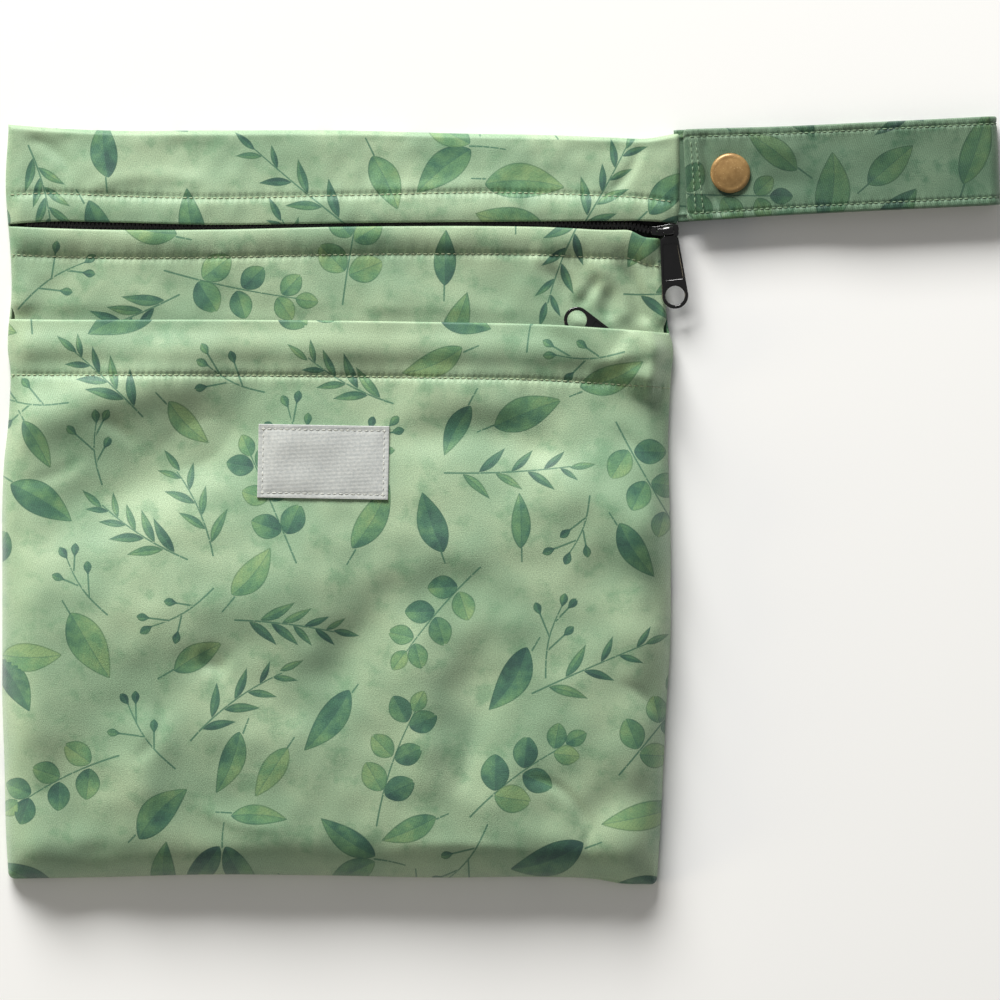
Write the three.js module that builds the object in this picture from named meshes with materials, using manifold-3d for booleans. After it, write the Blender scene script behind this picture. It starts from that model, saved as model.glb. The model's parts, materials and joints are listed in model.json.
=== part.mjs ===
// A cloth wet bag with two zipped pockets, lying flat, with a snap strap out of its right side.
// Millimetres. x runs to the right along the zips, y from the bottom edge to the top edge, z up.
import * as THREE from "three";
import { mergeVertices } from "three/addons/utils/BufferGeometryUtils.js";
import Module from "manifold-3d";

const wasm = await Module();
wasm.setup();

// Cloth body
const bodyWidth = 208;
const bodyLength = 232;
const clothWall = 1;
const clearance = 0.3;
const facetAllowance = 0.15;
const mainPocketDepth = 5.4;
const frontPocketDepth = 6.2;
const cornerRadius = 2;
const bandWidth = 28.8;
const pocketEdgeDrop = 59.5;
const pocketHemWidth = 17;
const tuckRun = 5;
const foldHeight = 1.4;
const foldWidth = 10;

// Zips
const tapeWidth = 11;
const tapeWall = 0.8;
const coilWidth = 2.6;
const coilHeight = 1.2;
const zipGap = 2.8;
const zipRidgeRun = 5;
const zipEndMargin = 6;
const lowerCoilDrop = 8;
const lowerTapeMargin = 9;

// Sliders and pulls
const sliderLength = 8.5;
const sliderWidth = 4.4;
const sliderHeight = 1.7;
const sliderOverhang = 0.3;
const bridgeLength = 5.6;
const bridgeBar = 0.9;
const pullWall = 0.9;
const pullLength = 20.3;
const pullNeckWidth = 2.6;
const pullTabWidth = 5.6;
const pullShoulder = 2.7;
const pullRingRadius = 4.1;
const pullHoleRadius = 3.1;
const eyeOuterRadius = 1.55;
const eyeInnerRadius = 0.95;
const flatEyeOuterRadius = 2.2;
const flatEyeInnerRadius = 1.1;
const pullHeadShift = 1;
const pullYaw = 6.1;
const lowerPullYaw = 236.6;
const lowerSliderAcross = 0.951;

// Label
const labelWidth = 40.5;
const labelLength = 22.8;
const labelWall = 0.8;
const labelAcross = 0.481;
const labelDown = 0.4436;
const labelTurn = -1;

// Strap and snap
const strapWidth = 27.5;
const strapReach = 98;
const strapWall = 1.2;
const strapDown = 0.0608;
const strapTilt = 2.75;
const strapGap = 4.8;
const strapEndGap = 1.4;
const snapFromRoot = 14.6;
const snapRadius = 6.2;
const snapDome = 2;
const snapSocketRadius = 4.6;
const snapSocketHeight = 1.6;
const snapBackHeight = 1.2;

const clothColour = 0x8fb58a;
const bandColour = 0x86ad83;
const labelColour = 0xcdcdc8;
const blackColour = 0x151515;
const brassColour = 0xaf8749;

// Levels of the sewn edge and of the middle of the bag
const edgeStack = 3 * clothWall + 2 * clearance;
const seamLevel = edgeStack / 2;
const backSeamLevel = seamLevel - clearance / 2;
const frontSeamLevel = seamLevel + clearance / 2;
const tuckedEdgeLevel = 2 * clothWall + clearance;
const mainTopLevel = 2 * clothWall + mainPocketDepth;
const tuckInset = clothWall + 2 * clearance + facetAllowance;
const edgeRoll = edgeStack / 2;

// Outline of the sides: down is a share of the length, left and right are shares of the width drawn in
const SIDE_EDGES = [
  { down: 0.0, left: 0.01, right: -0.012 },
  { down: 0.08, left: 0.006, right: -0.012 },
  { down: 0.118, left: 0.009, right: -0.01 },
  { down: 0.15, left: 0.012, right: 0.009 },
  { down: 0.23, left: 0.014, right: 0.009 },
  { down: 0.265, left: 0.01, right: 0.005 },
  { down: 0.29, left: 0.009, right: -0.002 },
  { down: 0.325, left: 0.013, right: 0.001 },
  { down: 0.36, left: 0.012, right: 0.003 },
  { down: 0.4, left: 0.009, right: 0.005 },
  { down: 0.44, left: 0.004, right: 0.005 },
  { down: 0.5, left: 0.001, right: 0.003 },
  { down: 0.575, left: 0.001, right: 0.0015 },
  { down: 0.7, left: 0.001, right: 0.003 },
  { down: 0.76, left: 0.001, right: 0.0075 },
  { down: 0.84, left: 0.004, right: 0.012 },
  { down: 0.95, left: 0.007, right: 0.018 },
  { down: 1.0, left: 0.0104, right: 0.022 },
];

// Waves of the cross edges: across is a share of the width, gap of the widest zip gap, the rest of the length
const CROSS_EDGES = [
  { across: 0.0, top: -0.008, band: 0.0013, gap: 0.25, pocket: -0.004, bottom: 0.001 },
  { across: 0.07, top: -0.003, band: -0.002, gap: 0.78, pocket: -0.003, bottom: 0.0 },
  { across: 0.15, top: 0.0, band: -0.0007, gap: 0.83, pocket: -0.0027, bottom: -0.0013 },
  { across: 0.3, top: 0.0, band: 0.0027, gap: 0.55, pocket: -0.0027, bottom: -0.0045 },
  { across: 0.5, top: 0.0, band: 0.0007, gap: 0.4, pocket: -0.0013, bottom: -0.0032 },
  { across: 0.67, top: 0.004, band: -0.001, gap: 0.45, pocket: 0.001, bottom: -0.0005 },
  { across: 0.82, top: 0.0067, band: -0.002, gap: 0.67, pocket: 0.004, bottom: -0.0015 },
  { across: 0.9, top: 0.0095, band: -0.0025, gap: 1.0, pocket: 0.0085, bottom: 0.001 },
  { across: 0.95, top: 0.0107, band: -0.0027, gap: 1.0, pocket: 0.0115, bottom: 0.0075 },
  { across: 1.0, top: 0.003, band: 0.0, gap: 1.0, pocket: 0.015, bottom: 0.0085 },
];

// Folds run between two points, bowed by a share of their run; width and rise are shares of a fold's size
const UPPER_FOLDS = [
  { fromAcross: 0.833, fromDown: 0.18, toAcross: 0.893, toDown: 0.254, bend: 0.1, width: 0.6, rise: -0.7 },
  { fromAcross: 0.9, fromDown: 0.18, toAcross: 0.87, toDown: 0.227, bend: 0, width: 0.5, rise: 0.6 },
  { fromAcross: 0.93, fromDown: 0.16, toAcross: 0.96, toDown: 0.267, bend: -0.1, width: 0.5, rise: -0.6 },
  { fromAcross: 0.028, fromDown: 0.2, toAcross: 0.024, toDown: 0.26, bend: 0, width: 0.5, rise: 0.5 },
  { fromAcross: 0.06, fromDown: 0.2, toAcross: 0.058, toDown: 0.26, bend: 0, width: 0.5, rise: -0.5 },
  { fromAcross: 0.954, fromDown: 0.015, toAcross: 0.91, toDown: 0.083, bend: 0.1, width: 0.5, rise: -0.8 },
  { fromAcross: 0.965, fromDown: 0.04, toAcross: 0.94, toDown: 0.095, bend: 0.1, width: 0.6, rise: 0.5 },
  { fromAcross: 0.04, fromDown: 0.01, toAcross: 0.09, toDown: 0.06, bend: 0.1, width: 0.6, rise: -0.5 },
  { fromAcross: 0.3, fromDown: 0.05, toAcross: 0.55, toDown: 0.065, bend: 0.04, width: 1.0, rise: 0.4 },
];
const POCKET_FOLDS = [
  { fromAcross: 0.03, fromDown: 0.484, toAcross: 0.356, toDown: 0.407, bend: -0.06, width: 1.1, rise: -1.0 },
  { fromAcross: 0.06, fromDown: 0.365, toAcross: 0.35, toDown: 0.355, bend: 0.02, width: 0.9, rise: 0.6 },
  { fromAcross: 0.13, fromDown: 0.53, toAcross: 0.42, toDown: 0.46, bend: -0.05, width: 1.3, rise: 0.6 },
  { fromAcross: 0.33, fromDown: 0.68, toAcross: 0.41, toDown: 0.702, bend: 0.1, width: 0.8, rise: -0.6 },
  { fromAcross: 0.245, fromDown: 0.76, toAcross: 0.207, toDown: 0.84, bend: 0.1, width: 0.7, rise: -0.6 },
  { fromAcross: 0.79, fromDown: 0.86, toAcross: 0.88, toDown: 0.93, bend: 0.12, width: 0.8, rise: -0.8 },
  { fromAcross: 0.88, fromDown: 0.93, toAcross: 0.895, toDown: 0.99, bend: -0.1, width: 0.8, rise: -0.7 },
  { fromAcross: 0.7, fromDown: 0.8, toAcross: 0.675, toDown: 0.9, bend: 0.05, width: 0.9, rise: -0.5 },
  { fromAcross: 0.83, fromDown: 0.52, toAcross: 0.965, toDown: 0.575, bend: 0.08, width: 1.1, rise: -0.8 },
  { fromAcross: 0.9, fromDown: 0.67, toAcross: 0.985, toDown: 0.7, bend: -0.05, width: 0.9, rise: -0.6 },
  { fromAcross: 0.1, fromDown: 0.93, toAcross: 0.5, toDown: 0.945, bend: 0.03, width: 0.9, rise: 0.5 },
];

// Lift of the pocket's hem over the zip under it, across the hem's width
const HEM_LIFT = [
  { at: 0.0, lift: 0.52 },
  { at: 0.2, lift: 0.62 },
  { at: 0.38, lift: 0.96 },
  { at: 0.47, lift: 1.03 },
  { at: 0.56, lift: 0.98 },
  { at: 0.78, lift: 0.64 },
  { at: 1.0, lift: 0.56 },
];

// Height of the strap along it: at is a share of the reach, under and over are shares of the loop's gap
const STRAP_FORM = [
  { at: 0.0, under: 1.0, over: 0.0 },
  { at: 0.08, under: 1.0, over: 0.0 },
  { at: 0.22, under: 1.0, over: 0.0 },
  { at: 0.38, under: 0.15, over: 0.55 },
  { at: 0.55, under: 0.0, over: 1.0 },
  { at: 0.8, under: 0.0, over: 1.0 },
  { at: 1.0, under: 0.0, over: 1.0 },
];

function clamp(value) {
  return Math.min(1, Math.max(0, value));
}

function smooth(low, high, value) {
  const share = clamp((value - low) / (high - low));
  return share * share * (3 - 2 * share);
}

function mix(from, to, share) {
  return from + (to - from) * share;
}

// Reads a column of a table between its rows, eased from row to row
function readTable(table, key, column, at) {
  const last = table[table.length - 1];
  if (at <= table[0][key]) return table[0][column];
  if (at >= last[key]) return last[column];
  const next = table.findIndex((row) => row[key] > at);
  const low = table[next - 1];
  const high = table[next];
  return mix(low[column], high[column], smooth(low[key], high[key], at));
}

function foldsAt(table, x, y) {
  let rise = 0;
  for (const fold of table) {
    const runX = (fold.toAcross - fold.fromAcross) * bodyWidth;
    const runY = (fold.fromDown - fold.toDown) * bodyLength;
    const run = Math.hypot(runX, runY);
    const offX = x - fold.fromAcross * bodyWidth;
    const offY = y - (1 - fold.fromDown) * bodyLength;
    const share = (offX * runX + offY * runY) / (run * run);
    const bow = fold.bend * run * 4 * share * (1 - share);
    const side = (offY * runX - offX * runY) / run - bow;
    const ends = smooth(-0.2, 0.25, share) * (1 - smooth(0.75, 1.2, share));
    const spread = side / (fold.width * foldWidth);
    rise += fold.rise * foldHeight * ends * Math.exp(-spread * spread);
  }
  return rise;
}

// Edges of the pieces seen from above
function bottomEdge(x) {
  return -bodyLength * readTable(CROSS_EDGES, "across", "bottom", x / bodyWidth);
}

function topEdge(x) {
  return bodyLength * (1 - readTable(CROSS_EDGES, "across", "top", x / bodyWidth));
}

function bandEdge(x) {
  const drop = readTable(CROSS_EDGES, "across", "band", x / bodyWidth);
  return bodyLength * (1 - drop) - bandWidth;
}

function pocketEdge(x) {
  const drop = readTable(CROSS_EDGES, "across", "pocket", x / bodyWidth);
  return bodyLength * (1 - drop) - pocketEdgeDrop;
}

function cornerInset(x, y) {
  const rise = Math.max(0, y - bottomEdge(x));
  if (rise >= cornerRadius) return 0;
  return cornerRadius - Math.sqrt(cornerRadius ** 2 - (cornerRadius - rise) ** 2);
}

function leftEdge(y) {
  return bodyWidth * readTable(SIDE_EDGES, "down", "left", 1 - y / bodyLength) + cornerInset(0, y);
}

function rightEdge(y) {
  const drawn = readTable(SIDE_EDGES, "down", "right", 1 - y / bodyLength);
  return bodyWidth * (1 - drawn) - cornerInset(bodyWidth, y);
}

// The slider sits at the closed end of the top zip, over the side seam
const zipEndLevel = bodyLength - bandWidth - zipGap;
const sliderX = rightEdge(zipEndLevel - sliderWidth) - sliderOverhang;
const sliderStart = sliderX - sliderLength / 2;

function zipGapAt(x) {
  const open = zipGap * readTable(CROSS_EDGES, "across", "gap", x / bodyWidth);
  const atSlider = sliderWidth + 2 * clearance;
  return mix(open, atSlider, smooth(sliderStart - sliderLength, sliderStart, x));
}

function panelEdge(x) {
  return bandEdge(x) - zipGapAt(x);
}

// Heights of the cloth
function swell(share) {
  return 1 - Math.abs(2 * clamp(share) - 1) ** 4;
}

function puff(x, y) {
  const across = (x - leftEdge(y)) / (rightEdge(y) - leftEdge(y));
  const down = (topEdge(x) - y) / (topEdge(x) - bottomEdge(x));
  return swell(across) * swell(down);
}

function sideDistance(x, y) {
  return Math.min(x - leftEdge(y), rightEdge(y) - x);
}

function upperTop(x, y) {
  const plain = mix(edgeStack, mainTopLevel, puff(x, y));
  const folds = foldsAt(UPPER_FOLDS, x, y) * smooth(0, foldWidth / 2, sideDistance(x, y));
  return Math.max(plain + folds, edgeStack);
}

function tuckedTop(x, y) {
  return mix(tuckedEdgeLevel, mainTopLevel, puff(x, y));
}

// 0 where the middle panel shows, 1 where it runs behind the front pocket
function tucked(x, y) {
  const start = pocketEdge(x) + clearance;
  return 1 - smooth(start, start + tuckRun, y);
}

function middleTop(x, y) {
  return mix(upperTop(x, y), tuckedTop(x, y), tucked(x, y));
}

function zipRidge(x, y, edge) {
  const flat = coilWidth / 2;
  const reach = 1 - smooth(flat, flat + zipRidgeRun, Math.abs(y - edge));
  const sides = smooth(0, zipEndMargin - 1, sideDistance(x, y));
  return (coilHeight + clearance) * reach * sides;
}

function bandTop(x, y) {
  return upperTop(x, y) + zipRidge(x, y, bandEdge(x));
}

function panelTop(x, y) {
  return middleTop(x, y) + zipRidge(x, y, panelEdge(x));
}

// Angle by which a pull points down from its head until it lies a clearance above what is under it
function pullDropTo(headX, headY, headZ, point, topAt) {
  let climb = -Math.PI / 2;
  const lift = clearance + pullWall / 2;
  for (let share = 0.35; share <= 1.2; share += 0.05) {
    const half = Math.min(pullRingRadius, mix(pullTabWidth / 2, pullRingRadius, share));
    for (const beside of [-1, -0.5, 0, 0.5, 1]) {
      const out = share * pullLength;
      const off = beside * half;
      const x = headX + out * Math.cos(point) - off * Math.sin(point);
      const y = headY + out * Math.sin(point) + off * Math.cos(point);
      if (x > rightEdge(y)) continue;
      climb = Math.max(climb, Math.atan((topAt(x, y) + lift - headZ) / out));
    }
  }
  return -climb;
}

// Place of the lower zip: its tapes lie on the middle panel, and its slider and pull on them
const lowerLine = (x) => pocketEdge(x) - lowerCoilDrop;
const lowerTapeTop = (x, y) => middleTop(x, y) + clearance + tapeWall;
const lowerSliderX = bodyWidth * lowerSliderAcross;
const lowerSliderY = lowerLine(lowerSliderX);
const lowerSliderZ = lowerTapeTop(lowerSliderX - sliderLength / 2, lowerSliderY) + clearance;
const bridgeRise = eyeOuterRadius + clearance;
const bridgeTop = sliderHeight + bridgeRise + bridgeBar / 2;
const lowerPullPoint = THREE.MathUtils.degToRad(lowerPullYaw - 90);
const legX = -(bridgeLength - bridgeBar) / 2;
const headLevel = sliderHeight + clearance + pullWall / 2;
const lowerDrop = pullDropTo(
  lowerSliderX + legX,
  lowerSliderY,
  lowerSliderZ + headLevel,
  lowerPullPoint,
  (x, y) => {
    const above = y - lowerLine(x);
    if (above > lowerCoilDrop + clearance) return middleTop(x, y);
    return lowerTapeTop(x, y) + (above < coilWidth / 2 + clearance ? coilHeight + clearance : 0);
  },
);
const hemLiftHeight = tapeWall + coilHeight + 3 * clearance + facetAllowance;

// The hem rises where the hidden slider and the arm of its pull pass under it
function gapOverPull(x, y, hem) {
  const offX = x - lowerSliderX;
  const offY = y - lowerSliderY;
  const ahead = offX * Math.cos(lowerPullPoint) + offY * Math.sin(lowerPullPoint);
  const beside = offY * Math.cos(lowerPullPoint) - offX * Math.sin(lowerPullPoint);
  const beyond = Math.max(0, ahead - pullLength - pullRingRadius, -ahead - sliderLength / 2);
  const away = Math.hypot(beyond, beside);
  const overSlider = lowerSliderZ + bridgeTop;
  const overPull = lowerSliderZ + headLevel + pullWall / 2 - ahead * Math.tan(lowerDrop);
  const top = mix(overSlider, overPull, smooth(sliderLength / 2, sliderLength, ahead));
  const room = top + clearance + facetAllowance - tuckedTop(x, y);
  const near = pullRingRadius + facetAllowance;
  return Math.max(hem, mix(hem, room, 1 - smooth(near, near + sliderLength, away)));
}

function hemGap(x, y) {
  const below = (pocketEdge(x) - y) / pocketHemWidth;
  return gapOverPull(x, y, hemLiftHeight * readTable(HEM_LIFT, "at", "lift", below));
}

function pocketTop(x, y) {
  const below = pocketEdge(x) - y;
  const open = smooth(pocketHemWidth, 3 * pocketHemWidth, below);
  const down = below / (pocketEdge(x) - bottomEdge(x));
  const across = (x - leftEdge(y)) / (rightEdge(y) - leftEdge(y));
  const sides = smooth(0, lowerTapeMargin - 1, sideDistance(x, y));
  const ends = smooth(0, foldWidth, y - bottomEdge(x));
  const hem = clearance + (hemGap(x, y) - clearance) * sides;
  const pocket = mix(clearance, frontPocketDepth, swell(across) * swell(0.25 + 0.75 * down));
  const folds = foldsAt(POCKET_FOLDS, x, y) * sides * ends;
  const gap = mix(hem, pocket, open) + folds;
  return tuckedTop(x, y) + clothWall + Math.max(clearance, gap);
}

// Share of full height across a rolled edge: 0 at the seam, 1 past the roll
function rollShare(distance, radius) {
  const left = clamp(1 - distance / radius);
  return Math.sqrt(1 - left * left);
}

function rollSteps(length) {
  return [0, 0.134, 0.5, 1].map((share) => (share * edgeRoll) / length);
}

// Rows of a hemmed edge along a zip, close together where the hem rises over the coil
function zipHemSteps(length) {
  return [0, 0.46, 1, 1.6, 2.5].map((share) => (share * coilWidth) / length);
}

// Shares from 0 to 1: close steps at the start and end, even steps between
function steps(near, count, far) {
  const start = near[near.length - 1];
  const end = 1 - far[far.length - 1];
  const even = Array.from({ length: count - 1 }, (_, i) => mix(start, end, (i + 1) / count));
  return [...near, ...even, ...far.map((share) => 1 - share).reverse()];
}

// A closed sheet: an upper and a lower face over the same columns and rows, joined round the rim
function sheet(columns, rows, upper, lower) {
  const points = [];
  for (const face of [upper, lower]) {
    for (const v of rows) {
      for (const u of columns) points.push(...face(u, v));
    }
  }
  const wide = columns.length;
  const under = wide * rows.length;
  const at = (i, j) => j * wide + i;
  const faces = [];
  const quad = (a, b, c, d) => faces.push(a, b, c, a, c, d);
  for (let j = 0; j < rows.length - 1; j++) {
    for (let i = 0; i < wide - 1; i++) {
      quad(at(i, j), at(i, j + 1), at(i + 1, j + 1), at(i + 1, j));
      const corner = under + at(i, j);
      quad(corner, corner + 1, corner + 1 + wide, corner + wide);
    }
  }
  const endRow = rows.length - 1;
  const endColumn = wide - 1;
  for (let i = 0; i < endColumn; i++) {
    quad(at(i, 0), at(i + 1, 0), under + at(i + 1, 0), under + at(i, 0));
    quad(at(i + 1, endRow), at(i, endRow), under + at(i, endRow), under + at(i + 1, endRow));
  }
  for (let j = 0; j < endRow; j++) {
    quad(at(0, j + 1), at(0, j), under + at(0, j), under + at(0, j + 1));
    const near = at(endColumn, j);
    const far = at(endColumn, j + 1);
    quad(near, far, under + far, under + near);
  }
  const geometry = new THREE.BufferGeometry();
  geometry.setAttribute("position", new THREE.Float32BufferAttribute(points, 3));
  geometry.setIndex(faces);
  geometry.computeVertexNormals();
  return geometry;
}

// A point of a piece that spans from side to side between a high and a low edge, drawn in by an inset
function spanPoint(u, v, highEdge, lowEdge, inset) {
  const nominal = bodyWidth * u;
  const y = mix(highEdge(nominal), lowEdge(nominal), v);
  const x = mix(leftEdge(y) + inset, rightEdge(y) - inset, u);
  return [x, y];
}

// Columns stand close at the rolled edges, at the ends of the lower zip and over its slider at the right
const zipEndSteps = [0.5, 0.95, 1.4, 1.9, 2.5, 3.2, 4].map((share) => (share * sliderLength) / bodyWidth);
const sideColumns = steps(
  [...rollSteps(bodyWidth), (lowerTapeMargin - 1) / bodyWidth],
  12,
  [...rollSteps(bodyWidth), ...zipEndSteps],
);

// Height of the upper face of a piece with rolled edges, or of the lower face one wall inside it
function rolledHeight(full, distances, wall) {
  const radius = edgeRoll - wall;
  const share = distances.reduce((product, distance) => product * rollShare(distance, radius), 1);
  return mix(frontSeamLevel, full - wall, share);
}

function makeBackPanel() {
  const columns = steps(rollSteps(bodyWidth), 5, rollSteps(bodyWidth));
  const rows = steps(rollSteps(bodyLength), 20, rollSteps(bodyLength));
  const face = (u, v, wall, level) => {
    const high = (x) => topEdge(x) - wall;
    const low = (x) => bottomEdge(x) + wall;
    const [x, y] = spanPoint(u, v, high, low, wall);
    const radius = edgeRoll - wall;
    const shares = [u * bodyWidth, (1 - u) * bodyWidth, v * bodyLength, (1 - v) * bodyLength];
    const share = shares.reduce((product, distance) => product * rollShare(distance, radius), 1);
    return [x, y, mix(backSeamLevel, level, share)];
  };
  return sheet(columns, rows, (u, v) => face(u, v, clothWall, clothWall), (u, v) => face(u, v, 0, 0));
}

function makeTopBand() {
  const length = bandWidth;
  const rows = steps(rollSteps(length), 4, zipHemSteps(length));
  const face = (u, v, wall) => {
    const high = (x) => topEdge(x) - wall;
    const [x, y] = spanPoint(u, v, high, bandEdge, wall);
    const distances = [u * bodyWidth, (1 - u) * bodyWidth, v * length];
    return [x, y, rolledHeight(bandTop(x, y), distances, wall)];
  };
  return sheet(sideColumns, rows, (u, v) => face(u, v, 0), (u, v) => face(u, v, clothWall));
}

function makeMiddlePanel() {
  const shown = pocketEdgeDrop - bandWidth;
  const length = bodyLength - bandWidth;
  const shownSteps = [0.35, 0.55, 0.72, 0.86, 1, 1.15].map((share) => (share * shown) / length);
  const rows = steps([...zipHemSteps(length), ...shownSteps], 8, [0]);
  const low = (x) => bottomEdge(x) + tuckInset;
  const face = (u, v, wall) => {
    const [plainX, y] = spanPoint(u, v, panelEdge, low, 0);
    const hidden = tucked(plainX, y);
    const inset = mix(wall, tuckInset, hidden);
    const x = mix(leftEdge(y) + inset, rightEdge(y) - inset, u);
    const full = panelTop(x, y);
    const rolled = rolledHeight(full, [u * bodyWidth, (1 - u) * bodyWidth], wall);
    return [x, y, mix(rolled, full - wall, hidden)];
  };
  return sheet(sideColumns, rows, (u, v) => face(u, v, 0), (u, v) => face(u, v, clothWall));
}

function makeFrontPocketPanel() {
  const length = bodyLength - pocketEdgeDrop;
  const hemShares = [0, 0.07, 0.2, 0.3, 0.38, 0.47, 0.56, 0.66, 0.78, 1, 1.3, 1.7];
  const rows = steps(
    hemShares.map((share) => (share * pocketHemWidth) / length),
    12,
    rollSteps(length),
  );
  const face = (u, v, wall) => {
    const low = (x) => bottomEdge(x) + wall;
    const [x, y] = spanPoint(u, v, pocketEdge, low, wall);
    const distances = [u * bodyWidth, (1 - u) * bodyWidth, (1 - v) * length];
    return [x, y, rolledHeight(pocketTop(x, y), distances, wall)];
  };
  return sheet(sideColumns, rows, (u, v) => face(u, v, 0), (u, v) => face(u, v, clothWall));
}

// A tape strip under an edge: it lies against the cloth that covers it, or on the cloth under it
function makeTape(highEdge, lowEdge, margin, topAt) {
  const columns = steps([0], 16, [0]);
  const rows = steps([0], 2, [0]);
  const face = (u, v, wall) => {
    const nominal = bodyWidth * u;
    const y = mix(highEdge(nominal), lowEdge(nominal), v);
    const x = mix(leftEdge(y) + margin, rightEdge(y) - margin, u);
    return [x, y, topAt(x, y) - wall];
  };
  return sheet(columns, rows, (u, v) => face(u, v, 0), (u, v) => face(u, v, tapeWall));
}

// The closed coil: a low round-topped cord of teeth along the line where the tapes meet
function makeCoil(lineAt, fromX, toX, baseAt) {
  const columns = steps([0], 23, [0]);
  const rows = [0, 0.12, 0.35, 0.65, 0.88, 1];
  const face = (u, v, top) => {
    const x = mix(fromX, toX, u);
    const y = lineAt(x) + coilWidth * (0.5 - v);
    const crown = rollShare(Math.min(v, 1 - v) * 2 + 0.12, 1);
    return [x, y, baseAt(x, lineAt(x)) + (top ? coilHeight * crown : 0)];
  };
  return sheet(columns, rows, (u, v) => face(u, v, true), (u, v) => face(u, v, false));
}

// Solids for joining and cutting
function toSolid(geometry) {
  const bare = geometry.clone();
  bare.deleteAttribute("normal");
  bare.deleteAttribute("uv");
  const merged = mergeVertices(bare, 1e-4);
  const vertProperties = merged.attributes.position.array;
  const triVerts = new Uint32Array(merged.index.array);
  return new wasm.Manifold(new wasm.Mesh({ numProp: 3, vertProperties, triVerts }));
}

function toGeometry(solid) {
  const mesh = solid.getMesh();
  const geometry = new THREE.BufferGeometry();
  geometry.setAttribute("position", new THREE.Float32BufferAttribute(mesh.vertProperties, 3));
  geometry.setIndex(Array.from(mesh.triVerts));
  geometry.computeVertexNormals();
  return geometry;
}

function extrude(shape, depth, bevel, segments) {
  return new THREE.ExtrudeGeometry(shape, {
    depth: depth - 2 * bevel,
    bevelEnabled: bevel > 0,
    bevelThickness: bevel,
    bevelSize: bevel,
    bevelOffset: -bevel,
    bevelSegments: 1,
    curveSegments: segments,
  }).translate(0, 0, bevel);
}

// Slider: a waisted block round the coil, with a bridge over it that holds the pull
function makeSlider() {
  const half = sliderLength / 2;
  const wide = sliderWidth / 2;
  const plan = new THREE.Shape();
  plan.moveTo(-half, -wide * 0.62);
  plan.lineTo(-half * 0.2, -wide * 0.78);
  plan.lineTo(half * 0.25, -wide);
  plan.lineTo(half * 0.75, -wide);
  plan.quadraticCurveTo(half, -wide, half, -wide * 0.4);
  plan.lineTo(half, wide * 0.4);
  plan.quadraticCurveTo(half, wide, half * 0.75, wide);
  plan.lineTo(half * 0.25, wide);
  plan.lineTo(-half * 0.2, wide * 0.78);
  plan.lineTo(-half, wide * 0.62);
  plan.closePath();
  const block = extrude(plan, sliderHeight, sliderHeight * 0.15, 4);
  const arch = new THREE.Shape();
  const halfBridge = bridgeLength / 2;
  const foot = sliderHeight * 0.5;
  arch.moveTo(-halfBridge, foot);
  arch.lineTo(halfBridge, foot);
  arch.lineTo(halfBridge, bridgeTop - bridgeBar);
  arch.lineTo(halfBridge - bridgeBar, bridgeTop);
  arch.lineTo(-halfBridge + bridgeBar, bridgeTop);
  arch.lineTo(-halfBridge, bridgeTop - bridgeBar);
  arch.closePath();
  const hollow = new THREE.Path();
  hollow.moveTo(-halfBridge + bridgeBar, sliderHeight * 0.8);
  hollow.lineTo(-halfBridge + bridgeBar, bridgeTop - bridgeBar);
  hollow.lineTo(halfBridge - bridgeBar, bridgeTop - bridgeBar);
  hollow.lineTo(halfBridge - bridgeBar, sliderHeight * 0.8);
  hollow.closePath();
  arch.holes.push(hollow);
  const bridge = extrude(arch, bridgeBar, 0, 1)
    .translate(0, 0, -bridgeBar / 2)
    .rotateX(Math.PI / 2);
  return toGeometry(toSolid(block).add(toSolid(bridge)));
}

// Pull: a flat tab that widens from its shoulders to a round eye. A narrow neck joins it to its head, which
// stands round the bridge or lies flat.
function makePull(headStands) {
  const plate = new THREE.Shape();
  const spread = Math.asin((pullRingRadius - pullTabWidth / 2) / (pullLength - pullShoulder));
  const neck = pullNeckWidth / 2;
  const neckStart = headStands ? (eyeInnerRadius + eyeOuterRadius) / 2 : flatEyeOuterRadius * 0.8;
  plate.moveTo(-neck, -neckStart);
  plate.lineTo(-pullTabWidth / 2, -pullShoulder);
  plate.lineTo(-pullRingRadius * Math.cos(spread), -pullLength + pullRingRadius * Math.sin(spread));
  plate.absarc(0, -pullLength, pullRingRadius, Math.PI - spread, 2 * Math.PI + spread, false);
  plate.lineTo(pullTabWidth / 2, -pullShoulder);
  plate.lineTo(neck, -neckStart);
  plate.closePath();
  const hole = new THREE.Path();
  hole.absarc(0, -pullLength, pullHoleRadius, 0, 2 * Math.PI, true);
  plate.holes.push(hole);
  const tab = extrude(plate, pullWall, pullWall * 0.15, 8).translate(0, 0, -pullWall / 2);
  const ring = new THREE.Shape();
  ring.absarc(0, 0, headStands ? eyeOuterRadius : flatEyeOuterRadius, 0, 2 * Math.PI, false);
  const eye = new THREE.Path();
  eye.absarc(0, 0, headStands ? eyeInnerRadius : flatEyeInnerRadius, 0, 2 * Math.PI, true);
  ring.holes.push(eye);
  const headWall = headStands ? pullNeckWidth / 2 : pullWall;
  const head = extrude(ring, headWall, 0, 8).translate(0, 0, -headWall / 2);
  if (headStands) head.rotateY(Math.PI / 2);
  return toGeometry(toSolid(tab).add(toSolid(head)));
}

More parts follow.
